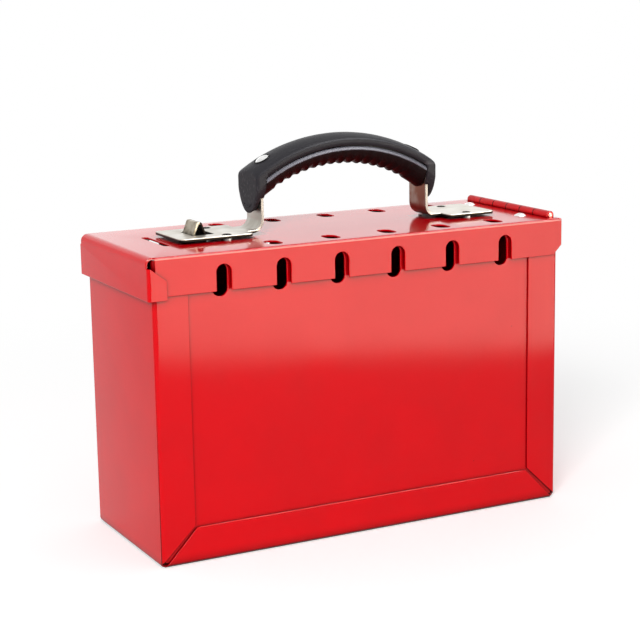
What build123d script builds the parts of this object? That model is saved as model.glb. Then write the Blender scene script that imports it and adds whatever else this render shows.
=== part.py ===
from build123d import *
from math import asin, atan2, cos, degrees, hypot, radians, sin, sqrt
import os

# Group lockout box: a painted steel box with an end-hinged lid that carries a handle and a latch.
# Millimetres. X runs along the box with the hinge at +X, Y goes to the back, Z is up.
# The origin is the middle of the footprint, on the surface that the box stands on.

# Box body: one bent sheet makes the end walls, the floor and the flanges round both panels
BOX_LENGTH = 228.0
BOX_DEPTH = 87.7
BOX_HEIGHT = 152.0
BODY_SHEET = 1.0
BODY_BEND = 2.0
FLANGE_WIDTH = 18.0
MITRE_GAP = 0.9
MITRE_FLARE = 0.8
PANEL_SHEET = 1.0

# Rows of lock slots through each panel, under the notches of the lid
SLOT_COUNT = 6
SLOT_PITCH = 31.7
SLOT_WIDTH = 8.0
SLOT_HEIGHT = 16.3
SLOT_DROP = 5.5

# Lid: a pressed sheet with skirts at the front, the back and the free end
LID_SHEET = 1.0
LID_SEAT_GAP = 0.3
SKIRT_GAP = 0.35
SKIRT_HEIGHT = 19.0
SKIRT_BEND = 1.0
SKIRT_END_RELIEF = 4.2
END_SKIRT_GAP = 2.2
END_SKIRT_HEIGHT = 20.6
END_BEND = 3.5
HINGE_OVERHANG = 1.8
LID_CHAMFER = 5.0
LID_LUG_WIDTH = 4.2
CORNER_TAB_LENGTH = 9.7
CORNER_TAB_GAP = 0.15
CORNER_TAB_BEND = 1.6
CORNER_TAB_DROP = 5.0
CORNER_TAB_SLANT = 7.0
NOTCH_WIDTH = 7.8
NOTCH_DROP = 6.0
NOTCH_SHIFT = 1.4
TOP_HOLE_WIDTH = 7.5
TOP_HOLE_LENGTH = 12.0
TOP_HOLE_INSET = 10.35
KEY_SLOT_WIDTH = 3.3
KEY_SLOT_LENGTH = 32.0
KEY_SLOT_GAP = 4.35

# Hinge across the end of the box
HINGE_LENGTH = 78.0
KNUCKLE_COUNT = 6
KNUCKLE_GAP = 0.2
PIN_DIAMETER = 2.4
PIN_PROUD = 0.3
LEAF_THICKNESS = 1.0
LID_LEAF_LENGTH = 14.0
BODY_LEAF_HEIGHT = 17.0
HINGE_RISE = 1.0
BARREL_GAP = 0.3
HINGE_RIVET_SPACING = 50.0
HINGE_RIVET_HEAD = 6.4
HINGE_RIVET_DOME = 1.3
HINGE_RIVET_SHANK = 3.2
LUG_SWEEP_GAP = 0.4

# Handle strap, bent from flat bar, with a wide foot at each end
HANDLE_X = 8.0
LEG_SPAN = 93.8
STRAP_WIDTH = 17.0
STRAP_THICKNESS = 1.5
STRAP_BEND = 5.0
FOOT_WIDTH = 33.6
FOOT_CORNER = 2.5
FOOT_STANDOFF = 1.0
NECK_LENGTH = 9.4
LEFT_FOOT_LENGTH = 39.7
RIGHT_FOOT_LENGTH = 28.2
LEFT_RIVET_INSET = 13.2
RIGHT_RIVET_INSET = 13.0
FOOT_RIVET_SPACING = 25.6
FOOT_RIVET_HEAD = 5.0
FOOT_RIVET_SHANK = 4.0
COUNTERSINK_DEPTH = 0.9
COUNTERSINK_GAP = 0.15
PUNCH_DIAMETER = 1.6
PUNCH_DEPTH = 0.6
SPACER_DIAMETER = 5.8
WASHER_DIAMETER = 9.0
WASHER_THICKNESS = 1.0

# Grip moulded round the strap: an upper shell and a ribbed lower insert
GRIP_RISE = 47.7
GRIP_RADIUS = 93.3
GRIP_DEPTH = 16.1
GRIP_WIDTH = 23.5
GRIP_CROWN = 2.3
GRIP_CREASE = 0.6
GRIP_SIDE = 5.8
GRIP_TOE_WIDTH = 14.0
GRIP_TOE_RISE = 2.5
GRIP_END_WALL = 3.3
GRIP_END_DROP = 20.4
GRIP_END_SIDE = 7.5
GRIP_MOUTH_RISE = 6.6
GRIP_WALL = 3.2
GRIP_TURN = 60.0
STRAP_DEPTH_IN_GRIP = 7.3
SEAM_DEPTH = 5.8
SEAM_END_FALL = 6.1
SEAM_END_GAP = 0.4
SEAM_GAP = 0.4
INSERT_INSET = 0.3
INSERT_END_GAP = 2.2
RIB_PITCH = 5.0
RIB_COUNT = 16
RIB_DEPTH = 1.0
RIB_CUT_RADIUS = 2.6
GRIP_RIVET_INSET = 3.5
GRIP_RIVET_HEAD = 8.0
GRIP_RIVET_DOME = 1.4
GRIP_RIVET_SHANK = 4.0
GRIP_RIVET_RECESS = 0.3

# Latch: a thumb tab on a slide under the lid, whose ears pass under two catches
LATCH_TRAVEL = 3.0
LATCH_ENGAGE = 2.5
LATCH_SHEET = 1.0
LATCH_PLAY = 0.1
SLIDE_WIDTH = 38.0
SLIDE_MARGIN = 9.5
ARM_LEAD = 1.15
EAR_WIDTH = 6.0
EAR_DROP = 1.8
EAR_GAP = 0.5
EAR_SIDE_GAP = 2.9
CATCH_LENGTH = 14.0
CATCH_HEIGHT = 14.0
CATCH_BEND = 0.5
LIP_LEAD = 1.0
LIP_LENGTH = 7.5
TAB_INSET = 14.7
TAB_LENGTH = 7.4
TAB_WIDTH = 13.0
TAB_THICKNESS = 1.2
TAB_RISE = 6.2
TAB_APEX = 1.2
TAB_TENON = 9.0
TAB_TENON_PROUD = 0.4
TAB_SLOT_GAP = 0.7
TAB_SLOT_SIDE_GAP = 1.3
BUSH_DIAMETER = 6.0
BUSH_FLANGE = 10.0
BUSH_FLANGE_THICKNESS = 1.0

# Rivet tails, as multiples of the shank
TAIL_SPREAD = 1.6
TAIL_RISE = 0.3

# Clearances that several pieces share
RUNNING_GAP = 0.05
FIT_GAP = 0.1
OVERCUT = 1.0

# Places worked out from the sizes above
half_length = BOX_LENGTH / 2
half_depth = BOX_DEPTH / 2
lid_under = BOX_HEIGHT - LID_SHEET
rim = lid_under - LID_SEAT_GAP
panel_face = half_depth - BODY_SHEET
panel_back = panel_face - PANEL_SHEET
skirt_inner = half_depth + SKIRT_GAP
skirt_outer = skirt_inner + LID_SHEET
lid_left = -half_length - END_SKIRT_GAP - LID_SHEET
lid_right = half_length + HINGE_OVERHANG
slot_top = BOX_HEIGHT - SLOT_DROP
slot_xs = [(i - (SLOT_COUNT - 1) / 2) * SLOT_PITCH for i in range(SLOT_COUNT)]
notch_xs = [x + NOTCH_SHIFT for x in slot_xs]

barrel_radius = PIN_DIAMETER / 2 + RUNNING_GAP + LEAF_THICKNESS
hinge_x = half_length + LEAF_THICKNESS - barrel_radius
hinge_z = BOX_HEIGHT + HINGE_RISE
lid_cut = hinge_x - barrel_radius - BARREL_GAP
knuckle_length = HINGE_LENGTH / KNUCKLE_COUNT
lug_sweep = hypot(lid_right - hinge_x, hinge_z - lid_under)
hinge_relief = hinge_z - lug_sweep - LUG_SWEEP_GAP
leaf_left = lid_cut - LID_LEAF_LENGTH
lid_rivet_x = (leaf_left + lid_cut) / 2
body_rivet_z = hinge_relief - BODY_LEAF_HEIGHT / 2

foot_under = BOX_HEIGHT + FOOT_STANDOFF
foot_top = foot_under + STRAP_THICKNESS
leg_half = LEG_SPAN / 2
neck_left = HANDLE_X - leg_half - NECK_LENGTH
neck_right = HANDLE_X + leg_half + NECK_LENGTH
foot_left = neck_left - LEFT_FOOT_LENGTH
foot_right = neck_right + RIGHT_FOOT_LENGTH
left_rivet_x = neck_left - LEFT_RIVET_INSET
right_rivet_x = neck_right + RIGHT_RIVET_INSET
washer_under = lid_under - WASHER_THICKNESS
foot_rivet_ys = (-FOOT_RIVET_SPACING / 2, FOOT_RIVET_SPACING / 2)
hinge_rivet_ys = (-HINGE_RIVET_SPACING / 2, HINGE_RIVET_SPACING / 2)

grip_top = BOX_HEIGHT + GRIP_RISE
grip_axis_z = grip_top - GRIP_RADIUS
grip_bottom_radius = GRIP_RADIUS - GRIP_DEPTH
strap_outer_radius = GRIP_RADIUS - STRAP_DEPTH_IN_GRIP
strap_inner_radius = strap_outer_radius - STRAP_THICKNESS
leg_outer = leg_half + STRAP_THICKNESS
channel_half = STRAP_WIDTH / 2 + FIT_GAP
grip_half = leg_outer + FIT_GAP + GRIP_END_WALL
seam_half = leg_half - SEAM_END_GAP
grip_end_top = grip_axis_z + sqrt(GRIP_RADIUS ** 2 - grip_half ** 2)
grip_end_bottom = grip_end_top - GRIP_END_DROP
grip_rivet_offset = leg_half - GRIP_RIVET_INSET
grip_rivet_angle = degrees(asin(grip_rivet_offset / GRIP_RADIUS))

slide_top = lid_under - LATCH_PLAY
slide_under = slide_top - LATCH_SHEET
ear_top = slide_top - EAR_DROP
lip_under = ear_top + EAR_GAP
lip_top = lip_under + LATCH_SHEET
catch_x = (slot_xs[0] + slot_xs[1]) / 2
catch_right = catch_x + CATCH_LENGTH / 2
lip_left = catch_right - CATCH_LENGTH + LATCH_TRAVEL + LIP_LEAD
ear_right = lip_left - (LATCH_TRAVEL - LATCH_ENGAGE)
ear_left = ear_right - EAR_WIDTH
ear_tip = panel_back - LATCH_SHEET - EAR_SIDE_GAP
arm_root = SLIDE_WIDTH / 2 + ARM_LEAD
ear_root = arm_root + EAR_DROP + LATCH_SHEET
lip_tip = panel_back - LIP_LENGTH
tab_x = foot_left + TAB_INSET
tab_left = tab_x - TAB_LENGTH / 2
tab_right = tab_x + TAB_LENGTH / 2
slide_left = min(tab_left - SLIDE_MARGIN, ear_left - SLIDE_MARGIN)
slide_right = max(left_rivet_x, tab_right, ear_right) + SLIDE_MARGIN
key_slot_x = foot_left - KEY_SLOT_GAP - KEY_SLOT_WIDTH / 2


def block(x0, x1, y0, y1, z0, z1):
    """Box between two corners, given in any order."""
    size = Box(abs(x1 - x0), abs(y1 - y0), abs(z1 - z0))
    return Pos((x0 + x1) / 2, (y0 + y1) / 2, (z0 + z1) / 2) * size


def post(x, y, z0, z1, diameter):
    """Upright round bar or hole."""
    return Pos(x, y, (z0 + z1) / 2) * Cylinder(diameter / 2, abs(z1 - z0))


def drum(x, z, radius, half_width):
    """Round bar along Y."""
    return Pos(x, 0, z) * Rot(90, 0, 0) * Cylinder(radius, 2 * half_width)


def dome(diameter, height):
    """Spherical cap standing on the XY plane."""
    ball_radius = (diameter ** 2 / 4 + height ** 2) / (2 * height)
    ball = Pos(0, 0, height - ball_radius) * Sphere(ball_radius)
    return ball & Pos(0, 0, height / 2) * Cylinder(diameter, height)


def rivet(head, head_rise, shank, grip):
    """Domed rivet along Z, its head seated at the origin and its tail set below what it grips."""
    tail = Rot(180, 0, 0) * dome(shank * TAIL_SPREAD, shank * TAIL_RISE)
    return dome(head, head_rise) + post(0, 0, -grip, 0, shank) + Pos(0, 0, -grip) * tail


def cone(x, y, top, wide, narrow, depth):
    """Upright frustum with its wide end on top."""
    return Pos(x, y, top - depth / 2) * Cone(narrow / 2, wide / 2, depth)


def flush_rivet(grip):
    """Countersunk rivet along Z, just below the surface at the origin, with a punch mark."""
    tail = Rot(180, 0, 0) * dome(FOOT_RIVET_SHANK * TAIL_SPREAD, FOOT_RIVET_SHANK * TAIL_RISE)
    body = cone(0, 0, -COUNTERSINK_GAP, FOOT_RIVET_HEAD, FOOT_RIVET_SHANK, COUNTERSINK_DEPTH)
    body += post(0, 0, -grip, -COUNTERSINK_GAP - COUNTERSINK_DEPTH, FOOT_RIVET_SHANK)
    mark = cone(0, 0, -COUNTERSINK_GAP, PUNCH_DIAMETER, RUNNING_GAP, PUNCH_DEPTH)
    return body + Pos(0, 0, -grip) * tail - mark


def ring(x, y, z0, z1, outer, inner):
    """Washer, spacer or bush."""
    return post(x, y, z0, z1, outer) - post(x, y, z0 - OVERCUT, z1 + OVERCUT, inner)


def extruded_side(points, y0, y1):
    """Prism whose outline is given in X and Z."""
    outline = make_face(Polyline(*points, close=True))
    return Pos(0, max(y0, y1), 0) * extrude(Plane.XZ * outline, abs(y1 - y0))


def hinge_end_relief():
    """Space that the lid's lugs and the barrel need above the end wall."""
    left = hinge_x - lug_sweep - LUG_SWEEP_GAP
    return block(left, lid_right, -BOX_DEPTH, BOX_DEPTH, hinge_relief, BOX_HEIGHT)


def body_shell():
    """Left wall, floor, right wall and the flanges that frame both panels."""
    top = rim + BODY_BEND + OVERCUT
    outer = block(-half_length, half_length, -half_depth, half_depth, 0, top)
    edges = outer.edges().filter_by(Axis.Z) + outer.faces().sort_by(Axis.Z)[0].edges()
    outer = fillet(edges, BODY_BEND)
    x, y = half_length - BODY_SHEET, half_depth - BODY_SHEET
    inner = block(-x, x, -y, y, BODY_SHEET, top + OVERCUT)
    edges = inner.edges().filter_by(Axis.Z) + inner.faces().sort_by(Axis.Z)[0].edges()
    inner = fillet(edges, BODY_BEND - BODY_SHEET)
    shell = outer - inner - block(-BOX_LENGTH, BOX_LENGTH, -BOX_DEPTH, BOX_DEPTH, rim, top + OVERCUT)
    window = half_length - FLANGE_WIDTH
    shell -= block(-window, window, -BOX_DEPTH, BOX_DEPTH, FLANGE_WIDTH, top)
    for end in (-1, 1):
        for side in (-1, 1):
            shell -= mitre(end, side, window)
    shell -= hinge_end_relief()
    for y in hinge_rivet_ys:
        hole = Pos(half_length, y, body_rivet_z) * Rot(0, 90, 0)
        shell -= hole * Cylinder(HINGE_RIVET_SHANK / 2 + RUNNING_GAP, 2 * (BODY_SHEET + OVERCUT))
    return shell


def mitre(end, side, window):
    """Open joint between a side flange and the bottom flange, wider at the corner."""
    near, far = MITRE_GAP / 2, MITRE_GAP / 2 + MITRE_FLARE / 2
    out = half_length + OVERCUT
    points = [
        (end * (window - near - OVERCUT), FLANGE_WIDTH - near + OVERCUT),
        (end * (window + near - OVERCUT), FLANGE_WIDTH + near + OVERCUT),
        (end * (out + far), -OVERCUT + far),
        (end * (out - far), -OVERCUT - far),
    ]
    return extruded_side(points, side * (half_depth - BODY_BEND), side * (half_depth + OVERCUT))


def wall_slots():
    """Lock slots through both panels."""
    middle = slot_top - SLOT_HEIGHT / 2
    cutter = None
    for x in slot_xs:
        plane = Plane(origin=(x, 0, middle), x_dir=(0, 0, 1), z_dir=(0, 1, 0))
        slot = extrude(plane * SlotOverall(SLOT_HEIGHT, SLOT_WIDTH), BOX_DEPTH, both=True)
        cutter = slot if cutter is None else cutter + slot
    return cutter


def panel(side):
    """Front or back panel, spot-welded behind the flanges."""
    x = half_length - BODY_BEND - FIT_GAP
    sheet = block(-x, x, side * panel_back, side * panel_face, BODY_BEND + FIT_GAP, rim)
    return sheet - wall_slots() - hinge_end_relief()


def catch(side):
    """Bracket welded inside a panel, with the lip that holds a latch ear down."""
    outer, inner = side * panel_back, side * (panel_back - LATCH_SHEET)
    web = block(catch_right - CATCH_LENGTH, catch_right, outer, inner, lip_top - CATCH_HEIGHT, lip_under)
    tip, foot = side * lip_tip, lip_under - LATCH_SHEET
    corner = make_face(Polyline((outer, foot), (outer, lip_top), (tip, lip_top), (tip, lip_under),
                                (inner, lip_under), (inner, foot), close=True))
    bends = corner.vertices().sort_by_distance((outer, lip_top))[0]
    corner = fillet(bends, CATCH_BEND + LATCH_SHEET)
    lip = Pos(lip_left, 0, 0) * extrude(Plane.YZ * corner, catch_right - lip_left)
    return web + lip


def lid():
    """Lid sheet with its skirts, notches and holes."""
    shell = lid_channel() + lid_end()
    notch_round = NOTCH_WIDTH / 2
    for x in notch_xs:
        arch = BOX_HEIGHT - NOTCH_DROP - notch_round
        shell -= drum(x, arch, notch_round, BOX_DEPTH)
        shell -= block(x - notch_round, x + notch_round, -BOX_DEPTH, BOX_DEPTH, 0, arch)
    row_y = half_depth - TOP_HOLE_INSET
    for x in notch_xs[1:]:
        for y in (-row_y, row_y):
            shell -= lid_slot(x, y, TOP_HOLE_LENGTH, TOP_HOLE_WIDTH)
    shell -= lid_slot(key_slot_x, 0, KEY_SLOT_LENGTH, KEY_SLOT_WIDTH)
    lug = half_depth - LID_LUG_WIDTH
    shell -= block(lid_cut, lid_right + OVERCUT, -lug, lug, lid_under - OVERCUT, BOX_HEIGHT + OVERCUT)
    shell -= tab_slot(lid_under - OVERCUT, BOX_HEIGHT + OVERCUT)
    rivet_bore = FOOT_RIVET_SHANK + FIT_GAP
    for y in foot_rivet_ys:
        for x in (left_rivet_x, right_rivet_x):
            shell -= post(x, y, lid_under - OVERCUT, BOX_HEIGHT + OVERCUT, rivet_bore)
    hinge_bore = HINGE_RIVET_SHANK + FIT_GAP
    for y in hinge_rivet_ys:
        shell -= post(lid_rivet_x, y, lid_under - OVERCUT, BOX_HEIGHT + OVERCUT, hinge_bore)
    return shell


def lid_channel():
    """Top with the front and back skirts."""
    bottom = BOX_HEIGHT - SKIRT_HEIGHT
    left = -half_length + LID_SHEET
    outer = block(left, lid_right, -skirt_outer, skirt_outer, bottom, BOX_HEIGHT)
    bends = outer.edges().filter_by(Axis.X).group_by(Axis.Z)[-1]
    outer = fillet(bends, SKIRT_BEND)
    inner = block(left - OVERCUT, lid_right + OVERCUT, -skirt_inner, skirt_inner, bottom - OVERCUT,
                  lid_under)
    channel = outer - inner
    corner = [(lid_right - LID_CHAMFER, bottom), (lid_right + OVERCUT, bottom - OVERCUT),
              (lid_right, bottom + LID_CHAMFER)]
    return channel - extruded_side(corner, -BOX_DEPTH, BOX_DEPTH)


def lid_end():
    """Skirt at the free end, and the tabs that it wraps round the corners."""
    bottom = BOX_HEIGHT - END_SKIRT_HEIGHT
    tab_outer = skirt_outer + CORNER_TAB_GAP + LID_SHEET
    tab_inner = skirt_outer + CORNER_TAB_GAP
    tab_top = BOX_HEIGHT - CORNER_TAB_DROP
    wide = block(lid_left, 0, -tab_outer, tab_outer, bottom, tab_top)
    wide = fillet(wide.edges().filter_by(Axis.Z).group_by(Axis.X)[0], CORNER_TAB_BEND)
    hollow = block(lid_left + LID_SHEET, OVERCUT, -tab_inner, tab_inner, bottom - OVERCUT,
                   tab_top + OVERCUT)
    hollow = fillet(hollow.edges().filter_by(Axis.Z).group_by(Axis.X)[0], CORNER_TAB_BEND - LID_SHEET)
    wrap = wide - hollow
    tab_end = lid_left + CORNER_TAB_LENGTH
    wrap -= block(tab_end, BOX_LENGTH, -BOX_DEPTH, BOX_DEPTH, 0, BOX_HEIGHT)
    slant = [(lid_left + CORNER_TAB_BEND, tab_top), (tab_end + OVERCUT, tab_top - CORNER_TAB_SLANT),
             (tab_end + OVERCUT, tab_top + OVERCUT)]
    wrap -= extruded_side(slant, -BOX_DEPTH, BOX_DEPTH)
    reach = -half_length + SKIRT_END_RELIEF
    width = skirt_inner - FIT_GAP
    upper = block(lid_left, reach, -width, width, tab_top - OVERCUT, BOX_HEIGHT)
    bend = upper.edges().filter_by(Axis.Y).group_by(Axis.Z)[-1].group_by(Axis.X)[0]
    upper = fillet(bend, END_BEND)
    under = block(lid_left + LID_SHEET, reach + OVERCUT, -BOX_DEPTH, BOX_DEPTH, 0, lid_under)
    bend = under.edges().filter_by(Axis.Y).group_by(Axis.Z)[-1].group_by(Axis.X)[0]
    under = fillet(bend, END_BEND - LID_SHEET)
    return wrap + (upper - under)


def lid_slot(x, y, length, width):
    """Round-ended hole through the lid, long across the box."""
    plane = Plane(origin=(x, y, lid_under), x_dir=(0, 1, 0), z_dir=(0, 0, 1))
    return extrude(plane * SlotOverall(length, width), 2 * LID_SHEET, both=True)


def tab_slot(z0, z1):
    """Window that the thumb tab travels in."""
    half = TAB_WIDTH / 2 + TAB_SLOT_SIDE_GAP
    window = block(tab_left - TAB_SLOT_GAP, tab_right + LATCH_TRAVEL + TAB_SLOT_GAP, -half, half, z0, z1)
    return fillet(window.edges().filter_by(Axis.Z), TAB_SLOT_GAP)


def knuckles(own):
    """Hinge barrel lengths along Y that belong to the first leaf (0) or the second (1)."""
    start = -HINGE_LENGTH / 2
    spans = []
    for i in range(own, KNUCKLE_COUNT, 2):
        y = start + i * knuckle_length
        spans.append((y + KNUCKLE_GAP / 2, y + knuckle_length - KNUCKLE_GAP / 2))
    return spans


def barrel(y0, y1):
    """One rolled knuckle, solid; its bore is cut later."""
    return Pos(0, (y0 + y1) / 2, 0) * drum(hinge_x, hinge_z, barrel_radius, (y1 - y0) / 2)


def body_hinge_leaf():
    """Hinge leaf riveted outside the end wall."""
    outer = half_length + LEAF_THICKNESS
    half = HINGE_LENGTH / 2
    plate_top = hinge_z - barrel_radius - FIT_GAP
    leaf = block(half_length, outer, -half, half, hinge_relief - BODY_LEAF_HEIGHT, plate_top)
    for y0, y1 in knuckles(0):
        leaf += block(half_length, outer, y0, y1, plate_top, hinge_z)
        leaf += barrel(y0, y1)
    leaf -= drum(hinge_x, hinge_z, PIN_DIAMETER / 2 + RUNNING_GAP, HINGE_LENGTH)
    for y in hinge_rivet_ys:
        hole = Pos(half_length, y, body_rivet_z) * Rot(0, 90, 0)
        leaf -= hole * Cylinder(HINGE_RIVET_SHANK / 2 + RUNNING_GAP, 2 * (LEAF_THICKNESS + OVERCUT))
    return leaf


def lid_hinge_leaf():
    """Hinge leaf riveted under the lid, joggled up to the barrel."""
    half = HINGE_LENGTH / 2
    under = lid_under - LEAF_THICKNESS
    leaf = block(leaf_left, lid_cut, -half, half, under, lid_under)
    low = hinge_z - barrel_radius
    joggle = [
        (lid_cut - FIT_GAP, under), (lid_cut + FIT_GAP, under), (hinge_x - PIN_DIAMETER / 2, low),
        (hinge_x, low), (hinge_x, low + LEAF_THICKNESS),
        (hinge_x - PIN_DIAMETER / 2, low + LEAF_THICKNESS), (lid_cut + FIT_GAP, lid_under),
        (lid_cut - FIT_GAP, lid_under),
    ]
    for y0, y1 in knuckles(1):
        leaf += extruded_side(joggle, y0, y1) + barrel(y0, y1)
    leaf -= drum(hinge_x, hinge_z, PIN_DIAMETER / 2 + RUNNING_GAP, HINGE_LENGTH)
    for y in hinge_rivet_ys:
        leaf -= post(lid_rivet_x, y, under - OVERCUT, lid_under + OVERCUT, HINGE_RIVET_SHANK + FIT_GAP)
    return leaf


def hinge_pin():
    """Pin through all the knuckles."""
    pin = drum(hinge_x, hinge_z, PIN_DIAMETER / 2, HINGE_LENGTH / 2 + PIN_PROUD)
    return chamfer(pin.edges(), PIN_PROUD / 2)


def lid_hinge_rivets():
    """Two rivets that hold the hinge leaf to the lid."""
    grip = LID_SHEET + LEAF_THICKNESS
    one = rivet(HINGE_RIVET_HEAD, HINGE_RIVET_DOME, HINGE_RIVET_SHANK, grip)
    return [Pos(lid_rivet_x, y, BOX_HEIGHT) * one for y in hinge_rivet_ys]


def body_hinge_rivets():
    """Two rivets that hold the hinge leaf to the end wall."""
    grip = BODY_SHEET + LEAF_THICKNESS
    one = rivet(HINGE_RIVET_HEAD, HINGE_RIVET_DOME, HINGE_RIVET_SHANK, grip)
    seat = half_length + LEAF_THICKNESS
    return [Pos(seat, y, body_rivet_z) * Rot(0, 90, 0) * one for y in hinge_rivet_ys]


def strap_path():
    """Middle line of the strap: foot, leg, arc through the grip, leg, foot."""
    middle = foot_under + STRAP_THICKNESS / 2
    bend = STRAP_BEND + STRAP_THICKNESS / 2
    leg = leg_half + STRAP_THICKNESS / 2
    arc = strap_outer_radius - STRAP_THICKNESS / 2
    rise = sqrt((arc - bend) ** 2 - (leg - bend) ** 2)
    turn = degrees(atan2(rise, leg - bend))
    left, right = HANDLE_X - leg, HANDLE_X + leg
    shoulder = grip_axis_z + rise
    line = Line((foot_left, middle), (left - bend, middle))
    line += CenterArc((left - bend, middle + bend), bend, -90, 90)
    line += Line((left, middle + bend), (left, shoulder))
    line += CenterArc((left + bend, shoulder), bend, 180, -turn)
    line += CenterArc((HANDLE_X, grip_axis_z), arc, 180 - turn, 2 * turn - 180)
    line += CenterArc((right - bend, shoulder), bend, turn, -turn)
    line += Line((right, shoulder), (right, middle + bend))
    line += CenterArc((right + bend, middle + bend), bend, 180, 90)
    line += Line((right + bend, middle), (foot_right, middle))
    return Plane.XZ * line


def handle_strap():
    """Bent strap with its two wide feet."""
    middle = foot_under + STRAP_THICKNESS / 2
    start = Plane(origin=(foot_left, 0, middle), x_dir=(0, 1, 0), z_dir=(1, 0, 0))
    strap = sweep(start * Rectangle(STRAP_WIDTH, STRAP_THICKNESS), strap_path())
    wide = FOOT_WIDTH / 2
    for x0, x1 in ((foot_left, neck_left), (neck_right, foot_right)):
        foot = block(x0, x1, -wide, wide, foot_under, foot_top)
        strap += fillet(foot.edges().filter_by(Axis.Z), FOOT_CORNER)
    strap -= tab_slot(foot_under - OVERCUT, foot_top + OVERCUT)
    bore = FOOT_RIVET_SHANK + FIT_GAP
    sink = FOOT_RIVET_HEAD + 2 * COUNTERSINK_GAP
    for x in (left_rivet_x, right_rivet_x):
        for y in foot_rivet_ys:
            strap -= post(x, y, foot_under - OVERCUT, foot_top + OVERCUT, bore)
            strap -= cone(x, y, foot_top, sink, bore, COUNTERSINK_GAP + COUNTERSINK_DEPTH)
    for side in (-1, 1):
        place = grip_rivet_place(side, strap_outer_radius)
        strap -= place * Cylinder(GRIP_RIVET_SHANK / 2 + RUNNING_GAP, 2 * (STRAP_THICKNESS + OVERCUT))
    return strap


def grip_rivet_place(side, radius):
    """Frame on the grip's arc at a rivet, its Z pointing out of the grip."""
    angle = radians(grip_rivet_angle)
    x = HANDLE_X + side * radius * sin(angle)
    z = grip_axis_z + radius * cos(angle)
    return Location((x, 0, z), (0, side * grip_rivet_angle, 0))


def shield(half, top, side_end, bottom):
    """Section of the grip across Y and Z: arched top, upright sides, tapered and rounded below."""
    shoulder = top - GRIP_CROWN
    toe, toe_z = GRIP_TOE_WIDTH / 2, bottom + GRIP_TOE_RISE
    outline = ThreePointArc((-half, shoulder), (0, top), (half, shoulder))
    outline += Polyline((half, shoulder), (half, side_end), (toe, toe_z))
    outline += ThreePointArc((toe, toe_z), (0, bottom), (-toe, toe_z))
    outline += Polyline((-toe, toe_z), (-half, side_end), (-half, shoulder))
    face = make_face(outline)
    return fillet(face.vertices().group_by(Axis.Y)[-1], GRIP_CREASE)


def grip_blank(inset):
    """Whole outside of the grip: the section turned about the grip's axis, with upright ends."""
    half = GRIP_WIDTH / 2 - inset
    shoulder = grip_top - GRIP_CROWN
    section = shield(half, grip_top, shoulder - GRIP_SIDE, grip_top - GRIP_DEPTH)
    axis = Axis((HANDLE_X, 0, grip_axis_z), (0, 1, 0))
    start = (Plane.YZ.offset(HANDLE_X) * section).rotate(axis, -GRIP_TURN)
    end_side = grip_end_top - GRIP_CROWN - GRIP_END_SIDE
    end = shield(half, grip_top + GRIP_CROWN, end_side, grip_end_bottom)
    slab = Pos(HANDLE_X - grip_half, 0, 0) * extrude(Plane.YZ * end, 2 * grip_half)
    return revolve(start, axis, 2 * GRIP_TURN) & slab


def grip_side(half_width, x_half, radius, floor):
    """Arc-topped slab about the grip's axis, for cutting along the grip."""
    slab = block(HANDLE_X - x_half, HANDLE_X + x_half, -half_width, half_width, floor, grip_top + OVERCUT)
    return slab & drum(HANDLE_X, grip_axis_z, radius, half_width)


def seam_slab(gap):
    """Everything below the line where the shell meets the insert."""
    rise = GRIP_RADIUS - sqrt(GRIP_RADIUS ** 2 - seam_half ** 2)
    fall = rise - SEAM_DEPTH + SEAM_END_FALL
    radius = (seam_half ** 2 + fall ** 2) / (2 * fall)
    slab = block(HANDLE_X - seam_half + gap, HANDLE_X + seam_half - gap, -GRIP_WIDTH, GRIP_WIDTH,
                 foot_top, grip_top)
    return slab & drum(HANDLE_X, grip_top - SEAM_DEPTH - radius, radius - gap, GRIP_WIDTH)


def grip_shell():
    """Upper moulding, with the caps that close the grip's ends."""
    x_half = leg_outer + FIT_GAP
    boss_inner = grip_rivet_offset - GRIP_RIVET_HEAD
    hollow = grip_side(channel_half, boss_inner, GRIP_RADIUS - GRIP_WALL, foot_top)
    hollow += grip_side(channel_half, x_half, strap_outer_radius + FIT_GAP, foot_top)
    shank = Cylinder(GRIP_RIVET_SHANK / 2 + RUNNING_GAP, 2 * (STRAP_DEPTH_IN_GRIP + OVERCUT))
    head_room = Pos(0, 0, GRIP_WALL / 2) * Cylinder(GRIP_RIVET_HEAD / 2 + FIT_GAP, GRIP_WALL)
    mouth = grip_end_bottom + GRIP_MOUTH_RISE
    for side in (-1, 1):
        near = HANDLE_X + side * (seam_half - OVERCUT)
        hollow += block(near, HANDLE_X + side * x_half, -GRIP_WIDTH, GRIP_WIDTH, foot_top, mouth)
        hollow += grip_rivet_place(side, GRIP_RADIUS - GRIP_RIVET_RECESS) * (shank + head_room)
    return grip_blank(0) - (hollow + seam_slab(0))


def grip_insert():
    """Lower moulding under the strap, ribbed for the fingers."""
    insert = grip_blank(INSERT_INSET) & seam_slab(SEAM_GAP)
    over = block(HANDLE_X - grip_half, HANDLE_X + grip_half, -channel_half, channel_half,
                 foot_top, grip_top)
    reach = leg_half - INSERT_END_GAP
    under = grip_side(channel_half + OVERCUT, reach, strap_inner_radius - FIT_GAP, foot_top - OVERCUT)
    insert -= over - under
    step = degrees(RIB_PITCH / grip_bottom_radius)
    depth = grip_bottom_radius + RIB_DEPTH - RIB_CUT_RADIUS
    for i in range(RIB_COUNT):
        angle = radians((i - (RIB_COUNT - 1) / 2) * step)
        x, z = HANDLE_X + depth * sin(angle), grip_axis_z + depth * cos(angle)
        insert -= drum(x, z, RIB_CUT_RADIUS, GRIP_WIDTH)
    for side in (-1, 1):
        place = grip_rivet_place(side, strap_inner_radius)
        insert -= place * Cylinder(GRIP_RIVET_SHANK, GRIP_RIVET_SHANK)
    return insert


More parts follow.
